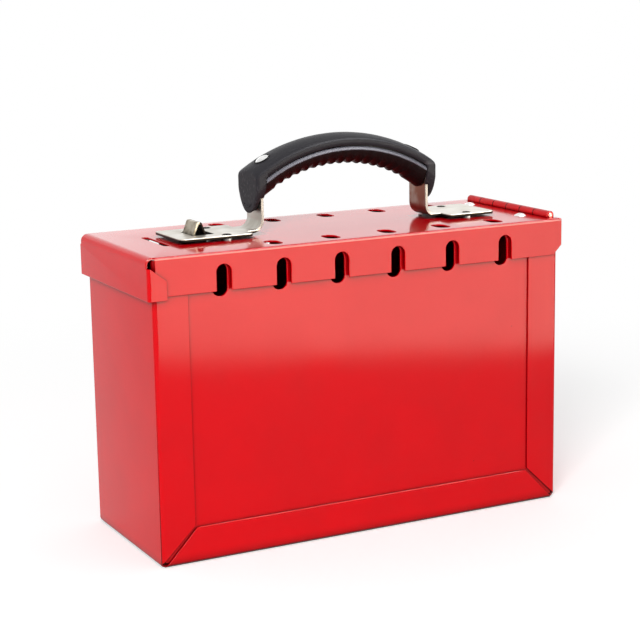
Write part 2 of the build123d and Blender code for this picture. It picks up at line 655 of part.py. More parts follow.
def grip_rivets():
    """Two rivets through the shell and the strap, set square to the arc."""
    grip = STRAP_DEPTH_IN_GRIP + STRAP_THICKNESS - GRIP_RIVET_RECESS + FIT_GAP
    one = rivet(GRIP_RIVET_HEAD, GRIP_RIVET_DOME, GRIP_RIVET_SHANK, grip)
    return [grip_rivet_place(side, GRIP_RADIUS - GRIP_RIVET_RECESS) * one for side in (-1, 1)]


def left_foot_rivets():
    """Two rivets through the foot, spacer, lid and latch bush."""
    bush = LATCH_SHEET + 2 * LATCH_PLAY + BUSH_FLANGE_THICKNESS
    grip = STRAP_THICKNESS + FOOT_STANDOFF + LID_SHEET + bush
    one = flush_rivet(grip)
    return [Pos(left_rivet_x, y, foot_top) * one for y in foot_rivet_ys]


def right_foot_rivets():
    """Two rivets through the foot, spacer, lid and backing washer."""
    grip = STRAP_THICKNESS + FOOT_STANDOFF + LID_SHEET + WASHER_THICKNESS
    one = flush_rivet(grip)
    return [Pos(right_rivet_x, y, foot_top) * one for y in foot_rivet_ys]


def washers(x, z0, z1, diameter):
    """Pair of washers on the rivets of one foot."""
    bore = FOOT_RIVET_SHANK + FIT_GAP
    return [ring(x, y, z0, z1, diameter, bore) for y in foot_rivet_ys]


def latch_guide_bushes():
    """Flanged bushes that carry the slide under the lid."""
    flange_top = slide_under - LATCH_PLAY
    bore = FOOT_RIVET_SHANK + FIT_GAP
    bushes = []
    for y in foot_rivet_ys:
        barrel_part = ring(left_rivet_x, y, flange_top, lid_under, BUSH_DIAMETER, bore)
        flange = ring(left_rivet_x, y, flange_top - BUSH_FLANGE_THICKNESS, flange_top, BUSH_FLANGE, bore)
        bushes.append(barrel_part + flange)
    return bushes


def latch_slide():
    """Plate under the lid with two arms, each ending in an ear one step lower."""
    half = SLIDE_WIDTH / 2
    plate = block(slide_left, slide_right, -half, half, slide_under, slide_top)
    plate = fillet(plate.edges().filter_by(Axis.Z), FOOT_CORNER)
    for side in (-1, 1):
        line = [(side * (half - OVERCUT), slide_top), (side * arm_root, slide_top),
                (side * ear_root, ear_top), (side * ear_tip, ear_top)]
        lower = [(y, z - LATCH_SHEET) for y, z in reversed(line)]
        outline = make_face(Polyline(*line, *lower, close=True))
        plate += Pos(ear_left, 0, 0) * extrude(Plane.YZ * outline, EAR_WIDTH)
    width = BUSH_DIAMETER + 2 * RUNNING_GAP
    for y in foot_rivet_ys:
        middle = left_rivet_x - LATCH_TRAVEL / 2
        plane = Plane(origin=(middle, y, slide_under), x_dir=(1, 0, 0), z_dir=(0, 0, 1))
        length = width + LATCH_TRAVEL + 2 * FIT_GAP
        plate -= extrude(plane * SlotOverall(length, width), 2 * LATCH_SHEET, both=True)
    for x0, x1 in tab_legs():
        tenon = TAB_TENON / 2 + RUNNING_GAP
        plate -= block(x0 - RUNNING_GAP, x1 + RUNNING_GAP, -tenon, tenon, slide_under - OVERCUT,
                       slide_top + OVERCUT)
    return plate


def tab_legs():
    """Where the thumb tab's two legs stand along X."""
    return (tab_left, tab_left + TAB_THICKNESS), (tab_right - TAB_THICKNESS, tab_right)


def thumb_tab():
    """Strip folded to an upright arch, its tenons peened through the slide."""
    top = foot_top + TAB_RISE
    half = TAB_LENGTH / 2
    points = [(tab_x - half, slide_top), (tab_x - half, foot_top), (tab_x - TAB_APEX, top),
              (tab_x + TAB_APEX, top), (tab_x + half, foot_top), (tab_x + half, slide_top)]
    outline = make_face(Polyline(*points, close=True))
    outline = fillet(outline.vertices().sort_by(Axis.Y)[-2:], TAB_APEX)
    hollow = offset(outline, amount=-TAB_THICKNESS)
    width = TAB_WIDTH / 2
    tab = Pos(0, width, 0) * extrude(Plane.XZ * outline, TAB_WIDTH)
    tab -= Pos(0, width + OVERCUT, 0) * extrude(Plane.XZ * hollow, TAB_WIDTH + 2 * OVERCUT)
    inner = half - TAB_THICKNESS
    tab -= block(tab_x - inner, tab_x + inner, -TAB_WIDTH, TAB_WIDTH, slide_top - OVERCUT,
                 slide_top + TAB_THICKNESS + OVERCUT)
    for x0, x1 in tab_legs():
        tenon = TAB_TENON / 2
        tab += block(x0, x1, -tenon, tenon, slide_under - TAB_TENON_PROUD, slide_top)
    return tab


nodes = {
    "body_shell": body_shell(),
    "front_panel": panel(-1),
    "back_panel": panel(1),
    "front_catch": catch(-1),
    "back_catch": catch(1),
    "body_hinge_leaf": body_hinge_leaf(),
    "body_hinge_rivets": body_hinge_rivets(),
    "hinge_pin": hinge_pin(),
    "lid": lid(),
    "lid_hinge_leaf": lid_hinge_leaf(),
    "lid_hinge_rivets": lid_hinge_rivets(),
    "handle_strap": handle_strap(),
    "grip_shell": grip_shell(),
    "grip_insert": grip_insert(),
    "grip_rivets": grip_rivets(),
    "left_foot_rivets": left_foot_rivets(),
    "right_foot_rivets": right_foot_rivets(),
    "left_foot_spacers": washers(left_rivet_x, BOX_HEIGHT, foot_under, SPACER_DIAMETER),
    "right_foot_spacers": washers(right_rivet_x, BOX_HEIGHT, foot_under, SPACER_DIAMETER),
    "right_foot_washers": washers(right_rivet_x, washer_under, lid_under, WASHER_DIAMETER),
    "latch_guide_bushes": latch_guide_bushes(),
    "latch_slide": latch_slide(),
    "thumb_tab": thumb_tab(),
}

os.makedirs("parts", exist_ok=True)
for name, shape in nodes.items():
    whole = Compound(children=shape) if isinstance(shape, list) else shape
    export_step(whole, f"parts/{name}.step")
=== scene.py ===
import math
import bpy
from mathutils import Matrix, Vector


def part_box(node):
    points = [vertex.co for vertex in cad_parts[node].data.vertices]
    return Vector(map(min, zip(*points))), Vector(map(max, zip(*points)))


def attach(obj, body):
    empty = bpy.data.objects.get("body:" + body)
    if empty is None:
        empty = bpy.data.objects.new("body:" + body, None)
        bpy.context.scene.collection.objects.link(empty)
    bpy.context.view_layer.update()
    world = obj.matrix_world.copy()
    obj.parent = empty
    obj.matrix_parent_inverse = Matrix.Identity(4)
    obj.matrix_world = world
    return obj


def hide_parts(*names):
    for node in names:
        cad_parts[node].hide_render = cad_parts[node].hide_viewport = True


bl_info = {
    "name": "Group lockout box",
    "version": (1, 0, 0),
    "blender": (4, 5, 0),
    "location": "3D View > Sidebar > Lock box",
    "description": "Finishes, softened edges, stage and camera for a painted steel group lockout box",
    "category": "Object",
}

import bmesh
import bpy
from bpy.props import FloatProperty, FloatVectorProperty, IntProperty, PointerProperty
from mathutils import Matrix, Vector

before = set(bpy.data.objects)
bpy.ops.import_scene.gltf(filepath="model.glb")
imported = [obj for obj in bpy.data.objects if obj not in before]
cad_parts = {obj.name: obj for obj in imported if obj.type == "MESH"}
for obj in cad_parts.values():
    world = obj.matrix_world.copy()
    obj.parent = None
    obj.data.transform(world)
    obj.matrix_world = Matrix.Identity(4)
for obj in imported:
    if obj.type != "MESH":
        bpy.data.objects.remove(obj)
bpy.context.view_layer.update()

MM = 0.001
WHITE = (1, 1, 1, 1)

# Copies of CAD meshes: how near two corners are to be one, and the turn below which faces are one plane
WELD = 0.002 * MM
FLAT_TURN = math.radians(0.2)
# Edges that turn further than this are cut edges: they are rounded, or stay crisp on a moulding
SHARP_TURN = math.radians(32)
EDGE_STEPS = 2


def linear(code):
    """sRGB hex such as "D8000D" as linear RGBA."""
    values = [int(code[i:i + 2], 16) / 255 for i in (0, 2, 4)]
    return tuple(v / 12.92 if v <= 0.04045 else ((v + 0.055) / 1.055) ** 2.4 for v in values) + (1.0,)


def grain(size):
    """Texture scale for features of that size in millimetres."""
    return 1 / (size * MM)


def colour_property(name, description, code):
    """A colour that a user may change."""
    return FloatVectorProperty(name=name, description=description, subtype="COLOR", size=4, min=0,
                               max=1, default=linear(code))


def length_property(name, description, size):
    """A size in millimetres, kept in metres."""
    return FloatProperty(name=name, description=description, default=size * MM, min=0, unit="LENGTH",
                         subtype="DISTANCE")


def level_property(name, description, value):
    """The strength of a light."""
    return FloatProperty(name=name, description=description, default=value, min=0)


class PaintSettings(bpy.types.PropertyGroup):
    """Sheet metal and its paint."""

    red: colour_property("Paint", "Powder coat on the box and the lid", "D8000E")
    deep_red: colour_property("Paint, deep", "The same coat where it lies thicker", "D2020F")
    # A darker copy of the coat's red: painted shade for the dark that the rolled barrel mirrors
    hinge_shaded_red: colour_property("Hinge paint", "Coat on the rolled hinge", "C4262A")
    # Painted highlight, a pale line along the lid's two long bends
    thin: colour_property("Paint, thin", "Where the coat is thin over the lid's bends", "F7A79C")
    speck: colour_property("Speck", "Dust caught in the coat", "6E0206")
    # Painted shade in gaps and steps
    gap_shade: colour_property("Paint in gaps", "Where the coat lies close to another sheet", "7A0004")
    # Painted shade deep in the closed box
    inside: colour_property("Paint inside", "The coat deep in the closed box", "050000")
    joint: colour_property("Knuckle joint", "Line between two knuckles of the hinge", "200304")
    edge: length_property("Painted edge", "Round that the coat gives a cut edge", 0.3)
    leaf_edge: length_property("Leaf edge", "The same round on the hinge's thinner leaves", 0.15)
    peel: length_property("Orange peel", "Width of the waves in the coat", 1.5)
    knuckle: length_property("Knuckle", "Length of one knuckle of the hinge", 13)


class MetalSettings(bpy.types.PropertyGroup):
    """Bare metal pieces."""

    stainless: colour_property("Strap", "Satin stainless strip", "B9B5AD")
    stainless_dull: colour_property("Strap, dull", "The same strip in its brush marks", "A39D92")
    stainless_cut: colour_property("Strap, cut", "Sheared sides of the strip", "8C8780")
    tarnish: colour_property("Strap, tarnished", "Brown tint on the leg by the hinge", "7C4A38")
    # Painted shade: in the punch marks, round the rivets, on the foot's edge and underside, and on the
    # rivets' rims
    rivet_and_gap_shade: colour_property("Grime", "Dirt in the punch marks and round the rivets", "1E1A17")
    tab: colour_property("Tab", "Plain bent steel strip", "A69D8C")
    tab_stain: colour_property("Tab, stained", "Oil and heat marks on the strip", "6F6350")
    # Painted shade on the tab's far side and in its gaps
    tab_shade: colour_property("Tab, blackened", "The side away from the thumb", "15110E")
    pin: colour_property("Pin", "Hinge pin with paint over its ends", "C8554E")
    pin_bare: colour_property("Pin, bare", "Where the paint is thin on the pin", "E3B9B2")
    # Near-black: painted shade, so the lid's holes look as dark as the unlit box inside
    slide_dark: colour_property("Blackened steel", "The slide under the lid", "262423")
    slide_dark_worn: colour_property("Blackened steel, worn", "Rubbed places on the slide", "3A3735")
    zinc: colour_property("Zinc", "Plated spacers, washers and bushes", "C6C7C6")
    zinc_dull: colour_property("Zinc, dull", "Spangle in the plating", "A3A5A6")
    rivet: colour_property("Rivet", "Bright domed rivets", "EDEDEC")
    rivet_dull: colour_property("Rivet, dull", "Tool marks on the rivets", "BDBDBB")
    # Painted shade deep in the closed box
    inside: colour_property("Metal inside", "Bare metal deep in the closed box", "030303")
    edge: length_property("Strap edge", "Broken edge of the strip", 0.22)
    tab_edge: length_property("Tab edge", "Broken edge of the tab", 0.25)
    slide_edge: length_property("Slide edge", "Broken edge of the slide", 0.15)


class GripSettings(bpy.types.PropertyGroup):
    """Moulded grip."""

    shell: colour_property("Shell", "Charcoal moulding", "2F2E32")
    scuff: colour_property("Scuff", "Lighter rubbed streaks", "605E62")
    insert: colour_property("Insert", "Darker ribbed moulding", "0D0A0B")
    insert_rub: colour_property("Insert, rubbed", "Worn tops of the ribs", "221C1E")
    # A paler copy of the insert's black: painted highlight where the band slopes to the light
    band: colour_property("Band", "Paler rim of the insert", "5A5963")
    band_rub: colour_property("Band, rubbed", "Scuffs on the rim", "85848F")
    radius: length_property("Arch radius", "From the grip's axis to its crown", 93.3)
    wall: length_property("Wall", "Thickness of the upper moulding", 3.2)
    seam_reach: length_property("Seam reach", "From the middle to the ends of the joint", 46.5)
    mouth_reach: length_property("Mouth reach", "From the middle to the strap's outer face", 48.5)
    mouth_rise: length_property("Mouth rise", "Height of the strap's mouth above the end", 6.6)
    insert_reach: length_property("Insert reach", "From the middle to the insert's ends", 46.1)
    end_round: length_property("End round", "Round between the sides and the ends", 1.5)
    rib_pitch: length_property("Scallop pitch", "From one finger scallop to the next", 5.0)
    rib_depth: length_property("Scallop depth", "Deepest cut of a scallop", 0.85)
    rib_count: IntProperty(name="Scallops", description="Number of finger scallops", default=16, min=0)
    rivet_offset: length_property("Rivet place", "From the grip's middle to each rivet", 43.4)
    # The dark rim is painted shade round the rivet's edge
    rivet_rim: length_property("Rivet rim", "Radius of the dark rim round a rivet", 4.15)
    rim_thick: length_property("Rim thickness", "Radius of the rim's own round section", 0.32)
    texture: length_property("Grain", "Spark-eroded grain of the mould", 0.45)


class StageSettings(bpy.types.PropertyGroup):
    """Floor, lamps and camera."""

    floor: colour_property("Floor", "Pale sweep under the box", "EFEFEF")
    glow: level_property("Floor glow", "What the floor adds where it is seen", 0.34)
    fade_near: length_property("Fade from", "Where the sweep starts to run out to white", 200)
    fade_far: length_property("Fade to", "Where the sweep is white", 600)
    key: level_property("Key light", "Radiance of the high softbox", 30.0)
    back: level_property("Back light", "Radiance of the sheet behind", 0.5)
    card: level_property("Card", "Radiance of the low card in front", 9.5)
    card_colour: colour_property("Card colour", "Warm white of the low card", "FFF6E4")
    strip: level_property("Strip", "Radiance of the box that lights the bends", 20.0)
    fill: level_property("Fill", "Plain light from all round", 0.5)
    lens: FloatProperty(name="Lens", description="Focal length on a 36 mm sensor", default=97.5, min=1,
                        unit="CAMERA")


def add(material, kind, inputs=None, **settings):
    """Adds a node; inputs holds, by socket name or number, a value or another node's output."""
    tree = material.node_tree
    node = tree.nodes.new("ShaderNode" + kind)
    for name, value in settings.items():
        setattr(node, name, value)
    for socket, value in (inputs or {}).items():
        if isinstance(value, bpy.types.NodeSocket):
            tree.links.new(value, node.inputs[socket])
        else:
            node.inputs[socket].default_value = value
    return node


def new_material(name):
    """Empty node material."""
    material = bpy.data.materials.new(name)
    material.use_nodes = True
    material.node_tree.nodes.clear()
    return material


def finish_surface(material, shader):
    """Joins a shader to the material's output."""
    add(material, "OutputMaterial", {"Surface": shader.outputs[0]})
    return material


# Painted shade where other surfaces crowd a place: how far off those are looked for, and the open shares
# between which the colour changes. The gaps are those at sheet edges and steps, the inside is that of the
# closed box.
GAP_REACH = 6 * MM
GAP_OPEN = (0.35, 0.95)
TAB_GAP_OPEN = (0.35, 0.8)
INSIDE_REACH = 150 * MM
INSIDE_OPEN = (0.1, 0.3)


def painted_crevice_shade(m, surface, dark, reach, shares):
    """Painted shade: changes a colour where other surfaces crowd it, in gaps and where little light gets in.
    """
    near = add(m, "AmbientOcclusion", {"Distance": reach}, samples=8)
    clear = add(m, "MapRange", {"Value": near.outputs["AO"], "From Min": shares[0],
                                "From Max": shares[1]})
    return add(m, "Mix", {0: clear.outputs["Result"], 6: dark, 7: surface}, data_type="RGBA").outputs[2]


# Painted highlight on the lid's bends, a pale line: how far below the top face it lies, where its half-width
# fades out, its strength, and how near the outer face it stays
BEND_DROP = 0.95 * MM
BEND_FADE = (0.2 * MM, 0.45 * MM)
BEND_SHARE = 0.75
BEND_REACH = 3 * MM


def painted_bend_highlight(m, surface, thin, place):
    """Painted highlight: a pale line along the lid's two long bends."""
    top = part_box("lid")[1]
    parts = add(m, "SeparateXYZ", {"Vector": place}).outputs
    side = add(m, "Math", {0: parts["Y"]}, operation="ABSOLUTE").outputs[0]
    below = add(m, "Math", {0: top.z, 1: parts["Z"]}, operation="SUBTRACT").outputs[0]
    off = add(m, "Math", {0: below, 1: BEND_DROP}, operation="SUBTRACT").outputs[0]
    off = add(m, "Math", {0: off}, operation="ABSOLUTE").outputs[0]
    line = add(m, "MapRange", {"Value": off, "From Min": BEND_FADE[0], "From Max": BEND_FADE[1],
                               "To Min": BEND_SHARE, "To Max": 0.0}).outputs["Result"]
    outer = add(m, "Math", {0: side, 1: top.y - BEND_REACH}, operation="GREATER_THAN").outputs[0]
    share = add(m, "Math", {0: line, 1: outer}, operation="MULTIPLY").outputs[0]
    return add(m, "Mix", {0: share, 6: surface, 7: thin}, data_type="RGBA").outputs[2]


# Line between two knuckles: where its half-width fades out, and how far from the pin's axis the rolled
# part reaches. There are six knuckles, so the lines stop short of 2.5 of them from the middle.
JOINT_FADE = (0.25 * MM, 0.45 * MM)
ROLLED_REACH = 3.4 * MM
JOINT_SPAN = 2.5


def knuckle_joints(m, surface, dark, place, pitch):
    """Lines where one knuckle meets the next, on the rolled barrel and not on the flat leaves."""
    along = add(m, "SeparateXYZ", {"Vector": place}).outputs["Y"]
    gap = add(m, "Math", {0: along, 1: pitch / 2}, operation="PINGPONG").outputs[0]
    line = add(m, "MapRange", {"Value": gap, "From Min": JOINT_FADE[0], "From Max": JOINT_FADE[1],
                               "To Min": 1.0, "To Max": 0.0}).outputs["Result"]
    side = add(m, "Math", {0: along}, operation="ABSOLUTE").outputs[0]
    inner = add(m, "Math", {0: side, 1: JOINT_SPAN * pitch}, operation="LESS_THAN").outputs[0]
    low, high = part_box("hinge_pin")
    from_pin = add(m, "VectorMath", {0: place, 1: (low + high) / 2}, operation="SUBTRACT").outputs[0]
    off_axis = add(m, "VectorMath", {0: from_pin, 1: (1, 0, 1)}, operation="MULTIPLY").outputs[0]
    reach = add(m, "VectorMath", {0: off_axis}, operation="LENGTH").outputs["Value"]
    rolled = add(m, "Math", {0: reach, 1: ROLLED_REACH}, operation="LESS_THAN").outputs[0]
    for limit in (inner, rolled):
        line = add(m, "Math", {0: line, 1: limit}, operation="MULTIPLY").outputs[0]
    return add(m, "Mix", {0: line, 6: surface, 7: dark}, data_type="RGBA").outputs[2]


# Dust under the coat: spacing in millimetres, the radius of a speck as a share of that, from its full
# colour to its edge, and the random number above which a place has one
DUST_SPACING = 11
DUST_EDGE = (0.018, 0.034)
DUST_PICK = 0.72


def dust_specks(m, place):
    """Where a few specks of dust lie in the coat."""
    dust = add(m, "TexVoronoi", {"Vector": place, "Scale": grain(DUST_SPACING)})
    dot = add(m, "MapRange", {"Value": dust.outputs["Distance"], "From Min": DUST_EDGE[0],
                              "From Max": DUST_EDGE[1], "To Min": 1.0, "To Max": 0.0}).outputs["Result"]
    pick = add(m, "SeparateColor", {"Color": dust.outputs["Color"]}).outputs["Red"]
    some = add(m, "Math", {0: pick, 1: DUST_PICK}, operation="GREATER_THAN").outputs[0]
    return add(m, "Math", {0: dot, 1: some}, operation="MULTIPLY").outputs[0]


# Noise keeps mostly between 0.3 and 0.7, so the ranges that spread it start and end near there. Sizes
# of patterns are in millimetres.
COAT_CLOUD = 28
COAT_RELIEF = 0.03 * MM
POLYESTER_IOR = 1.52


def powder_coat(name, paint, red, roughness, rolled=False):
    """Polyester powder coat, baked on: even and glossy, with soft waves and dust, painted shade and a painted
    bend highlight.
    """
    m = new_material(name)
    place = add(m, "TexCoord").outputs["Object"]
    cloud = add(m, "TexNoise", {"Vector": place, "Scale": grain(COAT_CLOUD), "Detail": 2.0}).outputs["Fac"]
    waves = add(m, "TexNoise", {"Vector": place, "Scale": 1 / paint.peel, "Detail": 1.5,
                                "Roughness": 0.45}).outputs["Fac"]
    dots = dust_specks(m, place)
    tone = add(m, "MapRange", {"Value": cloud, "From Min": 0.35, "From Max": 0.65}).outputs["Result"]
    base = add(m, "Mix", {0: tone, 6: red, 7: paint.deep_red}, data_type="RGBA").outputs[2]
    base = add(m, "Mix", {0: dots, 6: base, 7: paint.speck}, data_type="RGBA").outputs[2]
    if rolled:
        base = knuckle_joints(m, base, paint.joint, place, paint.knuckle)
    else:
        # Painted shade in gaps and steps, then a painted highlight along the lid's bends
        base = painted_crevice_shade(m, base, paint.gap_shade, GAP_REACH, GAP_OPEN)
        base = painted_bend_highlight(m, base, paint.thin, place)
    # Painted shade deep in the closed box
    base = painted_crevice_shade(m, base, paint.inside, INSIDE_REACH, INSIDE_OPEN)
    gloss = add(m, "MapRange", {"Value": cloud, "From Min": 0.3, "From Max": 0.7, "To Min": roughness,
                                "To Max": roughness + 0.05}).outputs["Result"]
    relief = add(m, "Math", {0: dots, 1: 0.5, 2: waves}, operation="MULTIPLY_ADD").outputs[0]
    bump = add(m, "Bump", {"Strength": 0.35, "Distance": COAT_RELIEF, "Height": relief})
    # The specular level is low, because the real coat shows little of the room in its gloss
    return finish_surface(m, add(m, "BsdfPrincipled", {
        "Base Color": base, "Roughness": gloss, "Normal": bump.outputs["Normal"],
        "IOR": POLYESTER_IOR, "Specular IOR Level": 0.125}))


# Strap: width and length of the brush lines and size of the cloudy patches in millimetres, and the
# height of the lines. The lines are drawn coarser than they are, so that they show.
BRUSH_LINE = 0.35
BRUSH_RUN = 30
STRIP_CLOUD = 9
STRIP_RELIEF = 0.01 * MM
# Tint on the leg: where it fades out along X from the leg's middle, and how soon it starts over the foot
TINT_FADE = (3.5 * MM, 6 * MM)
TINT_RISE = 2 * MM
# Cut faces and the foot's painted shade: how far in from the strip's side or top their change of colour
# starts and ends
CUT_FADE = (0.5 * MM, 0.3 * MM)


def brushed_steel(name, metal, leg, foot_top, half_width, roughness):
    """Rolled stainless strip, brushed: fine lines along it, dull cut sides, a brown tint on one leg and
    painted shade under the foot.
    """
    m = new_material(name)
    place = add(m, "TexCoord").outputs["Object"]
    # The strip is bent in the XZ plane, so its length is X or Z and only Y crosses the lines
    stretch = (grain(BRUSH_RUN), grain(BRUSH_LINE), grain(BRUSH_RUN))
    drawn = add(m, "Mapping", {"Vector": place, "Scale": stretch}).outputs["Vector"]
    lines = add(m, "TexNoise", {"Vector": drawn, "Scale": 1.0, "Detail": 3.0}).outputs["Fac"]
    cloud = add(m, "TexNoise", {"Vector": place, "Scale": grain(STRIP_CLOUD), "Detail": 3.0}).outputs["Fac"]
    mixed = add(m, "Math", {0: lines, 1: 0.6, 2: cloud}, operation="MULTIPLY_ADD").outputs[0]
    tone = add(m, "MapRange", {"Value": mixed, "From Min": 0.6, "From Max": 1.05}).outputs["Result"]
    base = add(m, "Mix", {0: tone, 6: metal.stainless, 7: metal.stainless_dull}, data_type="RGBA").outputs[2]

    parts = add(m, "SeparateXYZ", {"Vector": place}).outputs
    from_leg = add(m, "Math", {0: parts["X"], 1: leg}, operation="SUBTRACT").outputs[0]
    from_leg = add(m, "Math", {0: from_leg}, operation="ABSOLUTE").outputs[0]
    on_leg = add(m, "MapRange", {"Value": from_leg, "From Min": TINT_FADE[0], "From Max": TINT_FADE[1],
                                 "To Min": 1.0, "To Max": 0.0}).outputs["Result"]
    patchy = add(m, "MapRange", {"Value": cloud, "From Min": 0.3, "From Max": 0.6, "To Min": 0.55,
                                 "To Max": 1.0}).outputs["Result"]
    above = add(m, "MapRange", {"Value": parts["Z"], "From Min": foot_top,
                                "From Max": foot_top + TINT_RISE}).outputs["Result"]
    side = add(m, "Math", {0: parts["Y"]}, operation="ABSOLUTE").outputs[0]
    flat = add(m, "MapRange", {"Value": side, "From Min": half_width - CUT_FADE[0],
                               "From Max": half_width - CUT_FADE[1], "To Min": 1.0,
                               "To Max": 0.0}).outputs["Result"]
    tinted = on_leg
    for limit in (patchy, above, flat):
        tinted = add(m, "Math", {0: tinted, 1: limit}, operation="MULTIPLY").outputs[0]
    base = add(m, "Mix", {0: tinted, 6: base, 7: metal.tarnish}, data_type="RGBA").outputs[2]

    cut = add(m, "Math", {0: 1.0, 1: flat}, operation="SUBTRACT").outputs[0]
    cut = add(m, "Math", {0: cut, 1: above}, operation="MULTIPLY").outputs[0]
    base = add(m, "Mix", {0: cut, 6: base, 7: metal.stainless_cut}, data_type="RGBA").outputs[2]
    # Painted shade: the foot's cut edge and underside, below its top face, go dark as the gap beneath it
    under = add(m, "MapRange", {"Value": parts["Z"], "From Min": foot_top - CUT_FADE[0],
                                "From Max": foot_top - CUT_FADE[1], "To Min": 1.0,
                                "To Max": 0.0}).outputs["Result"]
    base = add(m, "Mix", {0: under, 6: base, 7: metal.rivet_and_gap_shade}, data_type="RGBA").outputs[2]

    gloss = add(m, "MapRange", {"Value": mixed, "From Min": 0.5, "From Max": 1.1, "To Min": roughness,
                                "To Max": roughness + 0.14}).outputs["Result"]
    gloss = add(m, "Math", {0: cut, 1: 0.3, 2: gloss}, operation="MULTIPLY_ADD").outputs[0]
    bump = add(m, "Bump", {"Strength": 0.2, "Distance": STRIP_RELIEF, "Height": lines})
    return finish_surface(m, add(m, "BsdfPrincipled", {
        "Base Color": base, "Metallic": 1.0, "Roughness": gloss, "Normal": bump.outputs["Normal"]}))


# Small metal pieces: depth of their pits, and half the width over which the tab's painted shade comes in
PIT_RELIEF = 0.02 * MM
SHADE_FADE = 0.3 * MM


def worn_metal(name, metal, clean, stained, roughness, patch, pit, shade_from=None):
    """Small pressed or plated pieces: cloudy patches and tiny pits, painted shade inside the box, and black
    painted shade past an X if one is given.
    """
    m = new_material(name)
    place = add(m, "TexCoord").outputs["Object"]
    cloud = add(m, "TexNoise", {"Vector": place, "Scale": grain(patch), "Detail": 4.0}).outputs["Fac"]
    pits = add(m, "TexNoise", {"Vector": place, "Scale": grain(pit), "Detail": 2.0}).outputs["Fac"]
    tone = add(m, "MapRange", {"Value": cloud, "From Min": 0.42, "From Max": 0.68}).outputs["Result"]
    base = add(m, "Mix", {0: tone, 6: clean, 7: stained}, data_type="RGBA").outputs[2]
    # Painted shade deep in the closed box
    base = painted_crevice_shade(m, base, metal.inside, INSIDE_REACH, INSIDE_OPEN)
    if shade_from is not None:
        # Painted shade: black past the X, and in the piece's gaps
        along = add(m, "SeparateXYZ", {"Vector": place}).outputs["X"]
        share = add(m, "MapRange", {"Value": along, "From Min": shade_from - SHADE_FADE,
                                    "From Max": shade_from + SHADE_FADE}).outputs["Result"]
        base = add(m, "Mix", {0: share, 6: base, 7: metal.tab_shade}, data_type="RGBA").outputs[2]
        base = painted_crevice_shade(m, base, metal.tab_shade, GAP_REACH, TAB_GAP_OPEN)
    gloss = add(m, "MapRange", {"Value": cloud, "From Min": 0.35, "From Max": 0.65, "To Min": roughness,
                                "To Max": roughness + 0.15}).outputs["Result"]
    bump = add(m, "Bump", {"Strength": 0.25, "Distance": PIT_RELIEF, "Height": pits})
    return finish_surface(m, add(m, "BsdfPrincipled", {
        "Base Color": base, "Metallic": 1.0, "Roughness": gloss, "Normal": bump.outputs["Normal"]}))


# Flush rivets: radii between which the middle mark ends and the dark outline starts, both painted shade, and
# the size in millimetres of the dull patches
MARK_EDGE = (0.6 * MM, 0.75 * MM)
OUTLINE_EDGE = (1.4 * MM, 1.6 * MM)
RIVET_CLOUD = 1.2


def rivet_centre(node):
    """Where the node's pair of rivets is: their X, and how far each is from the middle plane."""
    low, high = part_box(node)
    half_tail = (high.x - low.x) / 2
    return (low.x + high.x) / 2, high.y - half_tail


def rivet_distance(m, place, centres):
    """Distance from the nearest rivet axis, for rivets in mirrored pairs along Y."""
    parts = add(m, "SeparateXYZ", {"Vector": place}).outputs
    side = add(m, "Math", {0: parts["Y"]}, operation="ABSOLUTE").outputs[0]
    folded = add(m, "CombineXYZ", {"X": parts["X"], "Y": side}).outputs["Vector"]
    gaps = [add(m, "VectorMath", {0: folded, 1: (x, y, 0)}, operation="DISTANCE").outputs["Value"]
            for x, y in centres]
    nearest = gaps[0]
    for gap in gaps[1:]:
        nearest = add(m, "Math", {0: nearest, 1: gap}, operation="MINIMUM").outputs[0]
    return nearest


def punched_rivet(name, metal, centres):
    """Steel rivets set flush with a punch: bright, with a dark mark in the middle and a dark outline, both
    painted shade.
    """
    m = new_material(name)
    place = add(m, "TexCoord").outputs["Object"]
    distance = rivet_distance(m, place, centres)
    mark = add(m, "MapRange", {"Value": distance, "From Min": MARK_EDGE[0], "From Max": MARK_EDGE[1],
                               "To Min": 1.0, "To Max": 0.0}).outputs["Result"]
    outline = add(m, "MapRange", {"Value": distance, "From Min": OUTLINE_EDGE[0],
                                  "From Max": OUTLINE_EDGE[1]}).outputs["Result"]
    dark = add(m, "Math", {0: mark, 1: outline}, operation="MAXIMUM").outputs[0]
    cloud = add(m, "TexNoise", {"Vector": place, "Scale": grain(RIVET_CLOUD), "Detail": 3.0}).outputs["Fac"]
    base = add(m, "Mix", {0: cloud, 6: metal.stainless, 7: metal.stainless_dull}, data_type="RGBA").outputs[2]
    base = add(m, "Mix", {0: dark, 6: base, 7: metal.rivet_and_gap_shade}, data_type="RGBA").outputs[2]
    gloss = add(m, "MapRange", {"Value": cloud, "To Min": 0.2, "To Max": 0.4}).outputs["Result"]
    return finish_surface(m, add(m, "BsdfPrincipled", {
        "Base Color": base, "Metallic": 1.0, "Roughness": gloss}))


# Grip: length, width and height of a rubbed streak and size of the rubbed areas, in millimetres, and
# the height of the grain
STREAK = (16, 0.9, 2.2)
RUBBED_AREA = 18
GRAIN_RELIEF = 0.03 * MM
POLYPROPYLENE_IOR = 1.49


